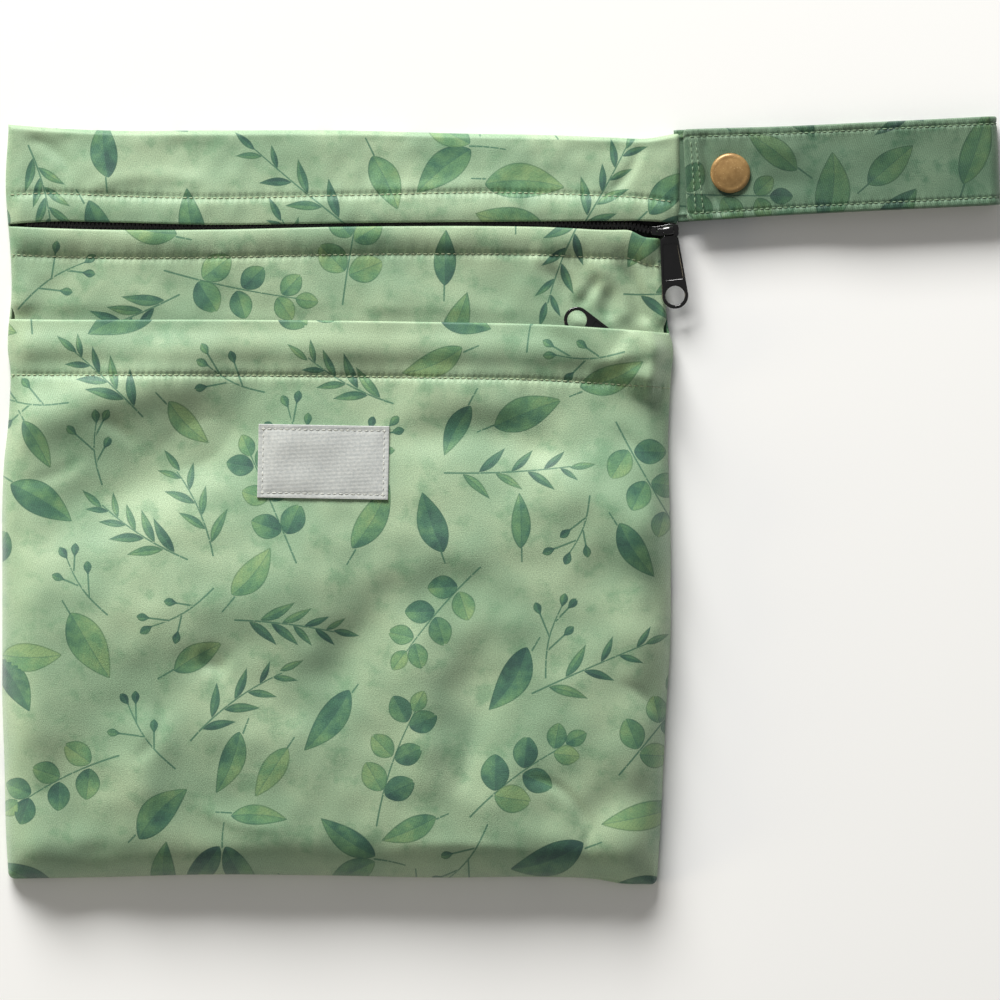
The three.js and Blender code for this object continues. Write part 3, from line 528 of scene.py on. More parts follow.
def leaf_paint(tree, slot, flat):
    """Cover and colour of the print's leaf in that slot: a wash with a darker rim, a rib and faint veins."""
    x, y, turn = split(tree, attribute(tree, f"leaf{slot}_place"))
    half, wide, tone = split(tree, attribute(tree, f"leaf{slot}_size"))
    fullness, roundness, bend = split(tree, attribute(tree, f"leaf{slot}_shape"))
    flat_x, flat_y, _ = split(tree, flat)
    off_x = minus(tree, flat_x, x)
    off_y = minus(tree, flat_y, y)
    cosine = calc(tree, "COSINE", turn)
    sine = calc(tree, "SINE", turn)
    along = plus(tree, times(tree, cosine, off_x), times(tree, sine, off_y))
    straight = minus(tree, times(tree, cosine, off_y), times(tree, sine, off_x))
    bow = times(tree, bend, times(tree, along, along))
    beside = minus(tree, straight, bow)
    share = calc(tree, "DIVIDE", calc(tree, "ADD", along, half), times(tree, half, 2.0), clamp=True)
    arch = calc(tree, "SINE", times(tree, calc(tree, "POWER", share, fullness), math.pi))
    outline = times(tree, wide, calc(tree, "POWER", calc(tree, "MAXIMUM", arch, 0.0), roundness))
    away = calc(tree, "ABSOLUTE", beside)
    past = calc(tree, "MAXIMUM", minus(tree, calc(tree, "ABSOLUTE", along), half), 0.0)
    depth = minus(tree, minus(tree, outline, away), past)
    cover = fade(tree, depth, -0.06, 0.22)
    rim = fade(tree, depth, 0.1, 0.75, 1.0, 0.0)
    rib = fade(tree, away, 0.08, 0.26, 1.0, 0.0)
    slant = minus(tree, along, times(tree, away, 1.3))
    vein = calc(tree, "SINE", times(tree, slant, 3.4))
    vein = fade(tree, vein, 0.55, 0.98)
    wash = cloud(tree, flat, 0.17, 3.0, 0.6)
    shade = plus(tree, times(tree, tone, 0.7), times(tree, share, -0.34))
    shade = plus(tree, shade, times(tree, wash, 1.2))
    side = times(tree, calc(tree, "SIGN", beside), -0.1)
    shade = calc(tree, "ADD", plus(tree, shade, side), -0.36, clamp=True)
    body = node(tree, "ShaderNodeValToRGB", {0: shade})
    ramp = body.color_ramp
    ramp.elements[0].position, ramp.elements[0].color = 0.0, paint(134, 166, 112)
    ramp.elements[1].position, ramp.elements[1].color = 1.0, paint(32, 76, 72)
    ramp.elements.new(0.35).color = paint(98, 144, 100)
    ramp.elements.new(0.7).color = paint(58, 108, 86)
    colour = blend_colours(tree, times(tree, rim, 0.55), body.outputs[0], paint(40, 84, 68))
    colour = blend_colours(tree, times(tree, vein, 0.16), colour, paint(50, 98, 84))
    colour = blend_colours(tree, times(tree, rib, 0.45), colour, paint(58, 104, 86))
    return cover, colour


def cloth_material(name, light=1.0, tint=(1, 1, 1), stained=0.58):
    """Printed knit: sage ground with a soft wash, leaves and stalks, a fine rib and a satin sheen."""
    material, tree, shader = new_material(name)
    flat = attribute(tree, "flat")
    wash = fade(tree, cloud(tree, flat, 0.028, 3.0, 0.55), 0.36, 0.64)
    ground = blend_colours(tree, wash, paint(141, 171, 138), paint(164, 187, 152))
    stain = fade(tree, cloud(tree, flat, 0.11, 4.0, 0.6), 0.48, 0.7, 0.0, stained)
    colour = blend_colours(tree, stain, ground, paint(104, 148, 112))
    start_x, start_y, thin = split(tree, attribute(tree, "stalk_from"))
    end_x, end_y, _ = split(tree, attribute(tree, "stalk_to"))
    flat_x, flat_y, _ = split(tree, flat)
    run_x, run_y = minus(tree, end_x, start_x), minus(tree, end_y, start_y)
    off_x, off_y = minus(tree, flat_x, start_x), minus(tree, flat_y, start_y)
    dot = plus(tree, times(tree, off_x, run_x), times(tree, off_y, run_y))
    square = plus(tree, times(tree, run_x, run_x), times(tree, run_y, run_y))
    share = calc(tree, "DIVIDE", dot, square, clamp=True)
    from_x = minus(tree, off_x, times(tree, share, run_x))
    from_y = minus(tree, off_y, times(tree, share, run_y))
    away = calc(tree, "SQRT", plus(tree, times(tree, from_x, from_x), times(tree, from_y, from_y)))
    line = fade(tree, minus(tree, away, thin), -0.06, 0.14, 0.85, 0.0)
    colour = blend_colours(tree, line, colour, paint(64, 112, 88))
    for slot in (1, 0):
        cover, leaf = leaf_paint(tree, slot, flat)
        colour = blend_colours(tree, times(tree, cover, 0.92), colour, leaf)
    grain = cloud(tree, flat, 2.6, 2.0, 0.7)
    # light and tint scale the whole colour. A copy with light below 1 or a tint is the same cloth in painted
    # shade.
    grained = fade(tree, grain, 0.3, 0.7, 0.78 * light, 1.1 * light)
    tinted = [times(tree, grained, part) for part in tint]
    speckle = node(tree, "ShaderNodeCombineColor", dict(enumerate(tinted)))
    colour = blend_colours(tree, 1.0, colour, speckle.outputs[0], "MULTIPLY")
    tree.links.new(colour, shader.inputs["Base Color"])
    seam_gap, seam_run, _ = split(tree, attribute(tree, "seam"))
    slant = plus(tree, flat_x, times(tree, flat_y, 0.35))
    rib = calc(tree, "SINE", times(tree, slant, 11.0))
    weave = plus(tree, times(tree, rib, 0.25), times(tree, grain, 1.6))
    near = calc(tree, "POWER", 2.0, times(tree, times(tree, seam_gap, seam_gap), -0.9))
    wave = calc(tree, "COSINE", times(tree, seam_run, 2 * math.pi / stitch_pitch))
    pulse = plus(tree, times(tree, wave, 0.5), 0.5)
    tick = times(tree, near, times(tree, pulse, -2.6))
    raise_surface(tree, shader, plus(tree, weave, tick), 0.55, 0.00012)
    shader.inputs["Roughness"].default_value = 0.52
    shader.inputs["Specular IOR Level"].default_value = 0.42
    shader.inputs["Sheen Weight"].default_value = 0.25
    shader.inputs["Sheen Roughness"].default_value = 0.45
    return material


printed_cloth = cloth_material("printed knit")


def dress(piece, material, node_name, body="bag"):
    """Gives a finished piece its material, the solid that it stands for, and the body that it moves with."""
    piece.data.materials.clear()
    piece.data.materials.append(material)
    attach(piece, body)
    if node_name:
        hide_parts(node_name)
    return piece


def span(high, low, across, down, inset):
    """Points from side to side between a high and a low edge, drawn in by an inset at the sides."""
    u, v = np.meshgrid(across, down)
    nominal = body_width * u
    y = mix(high(nominal), low(nominal), v)
    x = mix(left_edge(y) + inset, right_edge(y) - inset, u)
    return x, y, u, v


back_across = stations(body_width, ROLL_NEAR, 1.7, ROLL_NEAR) / body_width
back_down = stations(body_length, ROLL_NEAR, 1.7, ROLL_NEAR) / body_length


def back_face(wall):
    high, low = (lambda x: top_edge(x) - wall), (lambda x: bottom_edge(x) + wall)
    x, y, u, v = span(high, low, back_across, back_down, wall)
    ends = (v * body_length, (1 - v) * body_length)
    share = rolled(seam_roll - wall, u * body_width, (1 - u) * body_width, *ends)
    rest = wall + 0.18 * (1 + undulation(x, y, 45, 3)) * smooth(4, 30, side_distance(x, y)) * (wall > 0)
    return grid(x, y, mix(seam_level, rest, share)), grid(x, y)


outer_back, back_flat = back_face(0)
inner_back, _ = back_face(cloth_wall)
back_cloth = closed_cloth("back_cloth", inner_back, outer_back, back_flat)
carry_print(back_cloth, 11, body_width, body_length)
dress(back_cloth, printed_cloth, "back_panel")

# Middle panel. The wall between the two zips: it shows as a strip under the top zip, hemmed along its upper
# edge and stitched, and runs on down behind the front pocket, whose back wall it is, to the bottom seam.
band_width = 28.8
pocket_drop = 59.5
zip_gap = 2.8
slider_place = (205.8, 200.8)
slider_width = 4.4
slider_length = 8.5
narrow_hem = 8.6
tuck_run = 5.0
ridge_height = 1.5
tucked_inset = 1.75
hem_radius = 0.6
pucker_length = 5.2

# Each row: a fold from one point to another, as shares across and down, its bow, half width and rise in mm
upper_folds = (
    (0.825, 0.175, 0.893, 0.262, 0.08, 6.0, -1.3),
    (0.905, 0.172, 0.868, 0.24, 0, 5.0, 1.1),
    (0.925, 0.16, 0.965, 0.275, -0.1, 5.5, -1.15),
    (0.028, 0.2, 0.024, 0.26, 0, 5.0, 0.7),
    (0.06, 0.2, 0.058, 0.26, 0, 5.0, -0.7),
    (0.954, 0.015, 0.91, 0.083, 0.1, 5.0, -1.12),
    (0.965, 0.04, 0.94, 0.095, 0.1, 6.0, 0.7),
    (0.04, 0.01, 0.09, 0.06, 0.1, 6.0, -0.7),
    (0.3, 0.05, 0.55, 0.065, 0.04, 10.0, 0.56),
)
upper_creases = (
    (0.812, 0.18, 0.858, 0.255, 0.05, 2.4, -1.0),
    (0.842, 0.18, 0.866, 0.22, 0.05, 2.2, 0.5),
    (0.89, 0.195, 0.862, 0.235, 0.05, 2.0, -0.8),
    (0.885, 0.215, 0.888, 0.26, 0.0, 2.2, 0.5),
    (0.902, 0.215, 0.906, 0.26, 0.0, 1.9, -0.7),
    (0.918, 0.19, 0.932, 0.26, 0.05, 2.4, 0.65),
    (0.928, 0.185, 0.962, 0.272, 0.05, 2.4, -1.1),
    (0.965, 0.175, 0.978, 0.20, 0.0, 2.6, -0.6),
    (0.80, 0.17, 0.83, 0.21, 0.1, 2.0, 0.35),
    (0.045, 0.012, 0.10, 0.05, 0.1, 2.0, -0.4),
    (0.955, 0.012, 0.905, 0.085, 0.1, 1.6, -0.7),
    (0.12, 0.085, 0.3, 0.07, 0.1, 2.6, 0.3),
    (0.55, 0.075, 0.75, 0.06, -0.06, 2.6, 0.3),
)


def band_edge(x):
    return body_length * (1 - read_rows(cross_edges, BAND, x / body_width)) - band_width


def pocket_edge(x):
    return body_length * (1 - read_rows(cross_edges, POCKET, x / body_width)) - pocket_drop


def panel_edge(x):
    wide = zip_gap * read_rows(cross_edges, GAP, x / body_width)
    start = slider_place[0] - slider_length / 2
    wide = mix(wide, slider_width + 0.6, smooth(start - slider_length, start, x))
    return band_edge(x) - wide


def folds(rows, x, y):
    rise = 0
    for across, down, to_across, to_down, bend, width, height in rows:
        run_x = (to_across - across) * body_width
        run_y = (down - to_down) * body_length
        run = math.hypot(run_x, run_y)
        off_x, off_y = x - across * body_width, y - (1 - down) * body_length
        share = (off_x * run_x + off_y * run_y) / run**2
        bow = bend * run * 4 * share * (1 - share)
        beside = (off_y * run_x - off_x * run_y) / run - bow
        ends = smooth(-0.2, 0.25, share) * (1 - smooth(0.75, 1.2, share))
        rise = rise + height * ends * np.exp(-((beside / width) ** 2))
    return rise


def upper_top(x, y):
    plain = mix(seam_stack, pocket_level, puff(x, y))
    return np.maximum(plain + folds(upper_folds, x, y) * smooth(0, 5, side_distance(x, y)), seam_stack)


def tucked_top(x, y):
    return mix(2.3, pocket_level, puff(x, y))


def tucked(x, y):
    """0 where the middle panel shows, 1 where it runs behind the front pocket."""
    start = pocket_edge(x) + 0.3
    return 1 - smooth(start, start + tuck_run, y)


def zip_ridge(x, y, edge, run=10.5):
    reach = 1 - smooth(1.3, run, np.abs(y - edge))
    return ridge_height * reach * smooth(0, 5, side_distance(x, y))


def hem_form(x, gap, hem_width, edge_gap):
    """What sewing does to a hem: a groove and puckers along the stitches, and a soft pillow above them."""
    groove = -0.42 * np.exp(-((gap / 0.95) ** 2))
    pillow = 0.4 * np.sin(math.pi * np.clip(edge_gap / hem_width, 0, 1))
    wander = 0.7 * undulation(x, 0 * x, 38, 5)
    pucker = 0.13 * np.sin(2 * math.pi * (x / pucker_length + wander)) * np.exp(-((gap / 3.2) ** 2))
    return groove + pillow + pucker


def middle_top(x, y):
    full = mix(upper_top(x, y), tucked_top(x, y), tucked(x, y)) + zip_ridge(x, y, panel_edge(x))
    edge_gap = panel_edge(x) - y
    shown = (1 - tucked(x, y)) * smooth(0, 6, side_distance(x, y))
    sewn = hem_form(x, edge_gap - narrow_hem, narrow_hem, edge_gap)
    small = 1.3 * folds(upper_creases, x, y) + 0.4 * undulation(x, y, 26, 8) + 0.12 * undulation(x, y, 11, 9)
    return full + shown * (sewn + small)


def fold_over(distance, radius):
    """Height lost where the cloth turns over at a hem."""
    return radius * (1 - roll(distance, radius))


def hemmed(top, from_fold, hem_width, under):
    """The height of a panel's outer face, or of its inner one, which lies two layers deep along the hem."""
    turned = fold_over(from_fold, hem_radius)
    thick = mix(2 * hem_radius + 0.05, cloth_wall, smooth(hem_width, hem_width + 1.5, from_fold))
    return top + (turned - thick if under else -turned)


HEM_NEAR = (0, 0.03, 0.1, 0.22, 0.38, 0.6, 1.0, 1.6)
side_across = stations(body_width, ROLL_NEAR, 1.05, ROLL_NEAR) / body_width


def hem_rows(length, hem_width, step, far, shown):
    """Rows of a hemmed panel: close at the fold and at the stitches, wide apart where it is hidden."""
    near = list(HEM_NEAR)
    first = np.arange(near[-1] + step, hem_width - 1.6, step)
    stitches = hem_width + np.array([-1.4, -1.0, -0.7, -0.4, -0.15, 0.15, 0.4, 0.7, 1.0, 1.4])
    rest = np.arange(hem_width + 1.4 + step, shown, step)
    wide = np.arange(shown, length - far[-1], 4.0 if shown < length - 10 else step)
    end = length - np.array(far[::-1])
    return np.unique(np.round(np.concatenate([near, first, stitches, rest, wide, end]) / length, 6))


middle_length = body_length - band_width
middle_down = hem_rows(middle_length, narrow_hem, 0.8, (0,), 38)


def middle_face(under):
    low = lambda x: bottom_edge(x) + tucked_inset
    plain_x, y, u, v = span(panel_edge, low, side_across, middle_down, 0)
    hidden = tucked(plain_x, y)
    inset = mix(cloth_wall * under, tucked_inset, hidden)
    x = mix(left_edge(y) + inset, right_edge(y) - inset, u)
    z = hemmed(middle_top(x, y), v * middle_length, narrow_hem, under)
    share = rolled(seam_roll, u * body_width, (1 - u) * body_width)
    z = mix(mix(seam_level + 0.1 - 0.1 * under, z, share), z, hidden)
    gap = panel_edge(x) - y - narrow_hem
    return grid(x, y, z), grid(x, y), grid(gap, x)


def printed_panel(name, face, seed, length, node_name):
    """A panel between two faces, 0 the outer and 1 the inner one, with its print and its material."""
    outer, flat, seam = face(0)
    inner, _, _ = face(1)
    panel = closed_cloth(name, outer, inner, flat, seam)
    carry_print(panel, seed, body_width, length)
    return dress(panel, printed_cloth, node_name)


middle_cloth = printed_panel("middle_cloth", middle_face, 23, body_length, "middle_panel")

# Stitch rows. Spun polyester thread, pale green, in a straight lockstitch of about 1.9 mm that holds the hems
# down. Each stitch is a short thread sunk a little into the cloth at both of its ends.
stitch_length = 1.42
thread_width = 0.36


def add_socket(tree, name, kind, way="INPUT"):
    return tree.interface.new_socket(name=name, in_out=way, socket_type=kind)


def finish_tree(tree, laid, material):
    """Lays copies on points, makes them real and smooth, and gives them their material."""
    copies = node(tree, "GeometryNodeInstanceOnPoints", laid)
    real = node(tree, "GeometryNodeRealizeInstances", {0: copies.outputs[0]})
    soft = node(tree, "GeometryNodeSetShadeSmooth", {0: real.outputs[0]})
    done = node(tree, "GeometryNodeSetMaterial", {"Geometry": soft.outputs[0], "Material": material})
    node(tree, "NodeGroupOutput", {0: done.outputs[0]})


def line_tree(name, sizes, material):
    """The start of a tree that lays copies along a line: its sockets, even points and the line's heading."""
    tree = bpy.data.node_groups.new(name, "GeometryNodeTree")
    add_socket(tree, "Geometry", "NodeSocketGeometry", "OUTPUT")
    add_socket(tree, "Line", "NodeSocketGeometry")
    for size in ("Pitch", *sizes):
        add_socket(tree, size, "NodeSocketFloat")
    add_socket(tree, material, "NodeSocketMaterial")
    given = node(tree, "NodeGroupInput").outputs
    curve = node(tree, "GeometryNodeMeshToCurve", {0: given["Line"]})
    stations = {"Curve": curve.outputs[0], "Length": given["Pitch"]}
    even = node(tree, "GeometryNodeResampleCurve", stations, mode="LENGTH")
    tangent = node(tree, "GeometryNodeInputTangent")
    return tree, given, even.outputs[0], {"Vector": tangent.outputs[0]}


def stitch_tree():
    """Geometry Nodes: threads laid end to end along each line of the mesh that it gets."""
    tree, given, even, along = line_tree("stitches", ("Stitch Length", "Thread Width"), "Thread")
    ball = node(tree, "GeometryNodeMeshUVSphere", {"Segments": 8, "Rings": 6, "Radius": 0.5})
    sides = {0: given["Stitch Length"], 1: given["Thread Width"], 2: given["Thread Width"]}
    scale = node(tree, "ShaderNodeCombineXYZ", sides)
    thread = node(tree, "GeometryNodeTransform", {"Geometry": ball.outputs[0], "Scale": scale.outputs[0]})
    turn = node(tree, "FunctionNodeAlignRotationToVector", along, axis="X", pivot_axis="AUTO")
    range_of_turn = {"Min": (-0.05, -0.05, -0.07), "Max": (0.05, 0.05, 0.07), "Seed": 4}
    jitter = node(tree, "FunctionNodeRandomValue", range_of_turn, data_type="FLOAT_VECTOR")
    both = {0: turn.outputs[0], 1: jitter.outputs[0]}
    wobble = node(tree, "FunctionNodeRotateRotation", both, rotation_space="LOCAL")
    size = node(tree, "FunctionNodeRandomValue", {2: 0.88, 3: 1.1, "Seed": 9}, data_type="FLOAT")
    laid = {"Points": even, "Instance": thread.outputs[0], "Rotation": wobble.outputs[0]}
    laid["Scale"] = size.outputs[1]
    finish_tree(tree, laid, given["Thread"])
    return tree


stitches = stitch_tree()


def thread_material(name, colour, rough=0.75):
    """Spun thread: matt, with a fine twist in its colour and surface."""
    material, tree, shader = new_material(name)
    twist = cloud(tree, node(tree, "ShaderNodeTexCoord").outputs["Object"], 2600.0, 2.0)
    dark = tuple(0.62 * part for part in colour[:3]) + (1,)
    shades = blend_colours(tree, fade(tree, twist, 0.35, 0.65), dark, colour)
    tree.links.new(shades, shader.inputs["Base Color"])
    raise_surface(tree, shader, twist, 0.4, 0.00008)
    shader.inputs["Roughness"].default_value = rough
    shader.inputs["Sheen Weight"].default_value = 0.3
    return material


pale_thread = thread_material("pale green thread", paint(178, 192, 154))


def grown(name, lines, tree, **inputs):
    """A plain mesh that a tree grows along lines of points in millimetres."""
    points, edges = [], []
    for line in lines:
        first = len(points)
        points.extend(place(line).tolist())
        edges.extend((first + k, first + k + 1) for k in range(len(line) - 1))
    mesh = bpy.data.meshes.new(name)
    mesh.from_pydata(points, edges, [])
    seed_piece = put(name + "_line", mesh)
    modifier = seed_piece.modifiers.new("grow", "NODES")
    modifier.node_group = tree
    for item in tree.interface.items_tree:
        key = item.name.lower().replace(" ", "_")
        if item.in_out == "INPUT" and key in inputs:
            modifier[item.identifier] = inputs[key]
    plain = settled(seed_piece)
    plain.name = name
    return put(name, plain)


def sew(name, lines, thread=pale_thread):
    sizes = {"pitch": stitch_pitch, "stitch_length": stitch_length, "thread_width": thread_width}
    sizes = {key: value * MILLIMETRE for key, value in sizes.items()}
    piece = grown(name, lines, stitches, thread=thread, **sizes)
    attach(piece, "bag")
    return piece


def hem_line(edge, hem_width, top, inset=1.2):
    x = np.linspace(left_edge(np.array(160.0)) + inset, right_edge(np.array(160.0)) - inset, 240)
    y = edge(x) - hem_width
    return np.stack([x, y, top(x, y) + 0.1], axis=1)


sew("middle_stitches", [hem_line(panel_edge, narrow_hem, middle_top)])

# Lower zip. A black coil zip of size 3 under the pocket's hem: only the eye and arm of its pull come out.
# Its tapes are woven polyester, its coil nylon, and its slider and pull die-cast and enamelled black.
def plain_material(name, colour, rough, metal=0.0, specular=0.5, grain=0.0, grain_scale=900.0):
    """One colour with a fine grain, a little darker and duller in spots."""
    material, tree, shader = new_material(name)
    noise = cloud(tree, node(tree, "ShaderNodeTexCoord").outputs["Object"], grain_scale, 4.0)
    darker = tuple((1 - grain) * part for part in colour[:3]) + (1,)
    shades = blend_colours(tree, fade(tree, noise, 0.35, 0.65), darker, colour)
    tree.links.new(shades, shader.inputs["Base Color"])
    dullness = fade(tree, noise, 0.3, 0.7, rough * 0.8, min(1, rough * 1.25))
    tree.links.new(dullness, shader.inputs["Roughness"])
    shader.inputs["Metallic"].default_value = metal
    shader.inputs["Specular IOR Level"].default_value = specular
    return material


def tape_material():
    """Zip tape: black woven polyester with a fine twill."""
    material = plain_material("black zip tape", paint(26, 26, 28), 0.75, grain=0.4)
    tree = material.node_tree
    where = node(tree, "ShaderNodeTexCoord").outputs["Object"]
    waves = {"Vector": where, "Scale": 420.0, "Distortion": 1.0}
    twill = node(tree, "ShaderNodeTexWave", waves, bands_direction="DIAGONAL")
    raise_surface(tree, tree.nodes["Principled BSDF"], twill.outputs["Fac"], 0.5, 0.0001)
    return material


def finish_solids(material, *names):
    """Solids that hardly show keep their own shape and get a material."""
    for name in names:
        frame["nodes"][name].data.materials.clear()
        frame["nodes"][name].data.materials.append(material)


black_tape = tape_material()
black_coil = plain_material("black nylon coil", paint(54, 52, 54), 0.28, grain=0.3)
black_enamel = plain_material("black enamel", paint(15, 14, 15), 0.14, 0.2, 1.0, grain=0.3, grain_scale=400.0)
finish_solids(black_tape, "lower_zip_upper_tape", "lower_zip_lower_tape")
finish_solids(black_tape, "top_zip_upper_tape", "top_zip_lower_tape")
finish_solids(black_coil, "lower_zip_coil")

pull_length = 20.3
pull_wall = 0.9
eye_radius = 4.1
hole_radius = 3.05
head_width = 5.7
neck_width = 3.2
shoulder = 2.6


def cut_plate(name, outlines, low, high, bevel):
    """A plate with softened edges from an outline and its holes, lying flat between two levels, in mm."""
    curve = bpy.data.curves.new(name, "CURVE")
    curve.dimensions = "2D"
    curve.fill_mode = "BOTH"
    curve.extrude = ((high - low) / 2 - bevel) * MILLIMETRE
    curve.bevel_depth = bevel * MILLIMETRE
    curve.bevel_resolution = 2
    curve.offset = -bevel * MILLIMETRE
    for outline in outlines:
        spline = curve.splines.new("POLY")
        spline.points.add(len(outline) - 1)
        for point, (x, y) in zip(spline.points, outline):
            point.co = (x * MILLIMETRE, y * MILLIMETRE, 0, 1)
        spline.use_cyclic_u = True
    mesh = settled(put(name, curve))
    mesh.transform(Matrix.Translation((0, 0, (high + low) / 2 * MILLIMETRE)))
    return mesh


def circle(x, y, radius, count=40):
    turns = [2 * math.pi * k / count for k in range(count)]
    return [(x + radius * math.cos(a), y + radius * math.sin(a)) for a in turns]


def pull_outline(inset):
    """A tab from its shoulders under a narrow neck to its round eye, drawn in by an inset."""
    radius = eye_radius - inset
    head, neck = head_width / 2 - inset, neck_width / 2 - inset
    lean = math.asin((eye_radius - head_width / 2) / (pull_length - shoulder))
    sweep = np.linspace(math.pi - lean, 2 * math.pi + lean, 36)
    around = [(radius * math.cos(a), -pull_length + radius * math.sin(a)) for a in sweep]
    left = [(-neck, -1.5), (-neck - 0.3, -2.0), (-head + 0.3, -shoulder + 0.35), (-head, -shoulder)]
    left = [(x, y - inset) for x, y in left]
    return left + around + [(-x, y) for x, y in reversed(left)]


def pull_recess():
    """The sunk middle of the tab, from below its shoulders to above its eye, with rounded corners."""
    top, low = -shoulder - 1.5, -pull_length + eye_radius + 0.9
    lean = (eye_radius - head_width / 2) / (pull_length - shoulder)
    wide_top = head_width / 2 + lean * (-top - shoulder) - 0.8
    wide_low = head_width / 2 + lean * (-low - shoulder) - 0.8
    left = [(-wide_top + 0.5, top), (-wide_top + 0.12, top - 0.12), (-wide_top, top - 0.5)]
    left += [(-wide_low, low + 0.5), (-wide_low + 0.12, low + 0.12), (-wide_low + 0.5, low)]
    return left + [(-x, y) for x, y in reversed(left)]


def soften(mesh, sharp_over):
    """Smooth faces, sharp only where they meet at a greater angle, in degrees."""
    mesh.polygons.foreach_set("use_smooth", np.ones(len(mesh.polygons), bool))
    mesh.set_sharp_from_angle(angle=math.radians(sharp_over))


def joined(name, meshes, moved):
    """Several meshes as one piece, put in place by a matrix."""
    shape = bmesh.new()
    for mesh in meshes:
        shape.from_mesh(mesh)
    bmesh.ops.remove_doubles(shape, verts=shape.verts, dist=1e-6)
    bmesh.ops.recalc_face_normals(shape, faces=shape.faces)
    shape.transform(moved)
    whole = mesh_from(shape, name)
    soften(whole, 35)
    return put(name, whole)


def ring_tube(radius, wire, along, count=28, sides=10):
    """A round wire bent to a ring about the local X axis, as wide along X as asked."""
    shape = bmesh.new()
    rings = []
    for k in range(count):
        a = 2 * math.pi * k / count
        ring = []
        for m in range(sides):
            b = 2 * math.pi * m / sides
            reach = radius + wire * math.cos(b)
            point = Vector((along * math.sin(b), reach * math.cos(a), reach * math.sin(a)))
            ring.append(shape.verts.new(point * MILLIMETRE))
        rings.append(ring)
    for k in range(count):
        for m in range(sides):
            a, b = rings[k], rings[(k + 1) % count]
            shape.faces.new((a[m], a[(m + 1) % sides], b[(m + 1) % sides], b[m]))
    return mesh_from(shape, "ring")


def make_pull(name, head_at, yaw, drop, standing):
    """A pull: a tab with a raised rim, an eye at its end, and a ring at its head."""
    hole = circle(0, -pull_length, hole_radius)
    web_hole = circle(0, -pull_length, hole_radius - 0.05)
    web = cut_plate(name, [pull_outline(0.5), web_hole], -pull_wall * 0.28, pull_wall * 0.18, 0.05)
    rim = cut_plate(name, [pull_outline(0), pull_recess(), hole], -pull_wall / 2, pull_wall / 2, 0.33)
    parts = [web, rim]
    if standing:
        parts.append(ring_tube(1.25, 0.34, neck_width / 2))
    else:
        head = [circle(0, 0, 2.1, 28), circle(0, 0, 1.15, 28)]
        parts.append(cut_plate(name, head, -pull_wall / 2, pull_wall / 2, 0.12))
    turn = Matrix.Rotation(math.radians(yaw), 4, "Z") @ Matrix.Rotation(math.radians(drop), 4, "X")
    return joined(name, parts, Matrix.Translation(place(head_at)) @ turn)


def make_slider(name, centre):
    """A slider: a waisted plate over the coil, a lower plate, and a bridge that holds the pull."""
    half, wide = slider_length / 2, slider_width / 2
    side = [(-1.0, 0.6), (-0.6, 0.66), (-0.15, 0.8), (0.25, 1.0), (0.7, 1.0), (0.93, 0.82), (1.0, 0.45)]
    outline = [(half * a, -wide * b) for a, b in side] + [(half * a, wide * b) for a, b in reversed(side)]
    upper = cut_plate(name, [outline], 0.75, 1.7, 0.28)
    lower = cut_plate(name, [outline], 0.0, 0.6, 0.15)
    post = cut_plate(name, [circle(half * 0.72, 0, 1.0, 16)], 0.4, 1.0, 0.05)
    arch = [(-2.8, 1.2), (-2.8, 3.3), (-2.3, 3.85), (-1.5, 4.0)]
    hollow = [(1.9, 1.2), (1.9, 2.95), (1.6, 3.15)]
    section = arch + [(-x, y) for x, y in reversed(arch)] + hollow + [(-x, y) for x, y in reversed(hollow)]
    bridge = cut_plate(name, [section], -0.62, 0.62, 0.2)
    bridge.transform(Matrix.Rotation(math.pi / 2, 4, "X"))
    return joined(name, [upper, lower, post, bridge], Matrix.Translation(place(centre)))


def foot_of(node_name):
    """The middle of a solid's underside, in mm from the body's corner."""
    low, high = (np.array(corner) / MILLIMETRE + (*body_corner, 0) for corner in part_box(node_name))
    return (low[0] + high[0]) / 2, (low[1] + high[1]) / 2, low[2]


lower_slider_at = foot_of("lower_zip_slider")
lower_pull_head = (lower_slider_at[0] - 2.35, lower_slider_at[1], lower_slider_at[2] + 2.45)
lower_yaw, lower_drop = 236.6, -0.7
dress(make_slider("lower_slider", lower_slider_at), black_enamel, "lower_zip_slider")
lower_pull = make_pull("lower_pull", lower_pull_head, lower_yaw, lower_drop, False)
dress(lower_pull, black_enamel, "lower_zip_pull")

# Front pocket panel. The large printed panel over the lower zip: a deep hem, folded over and stitched, covers
# the zip like a flap, and the panel is sewn into the side and bottom seams. Its slack cloth is softly dented.
pocket_hem = 17.2
pocket_depth = 6.2
shoulder_run = 16.0
hem_lift_height = 3.05
lifted_depth = 17.0
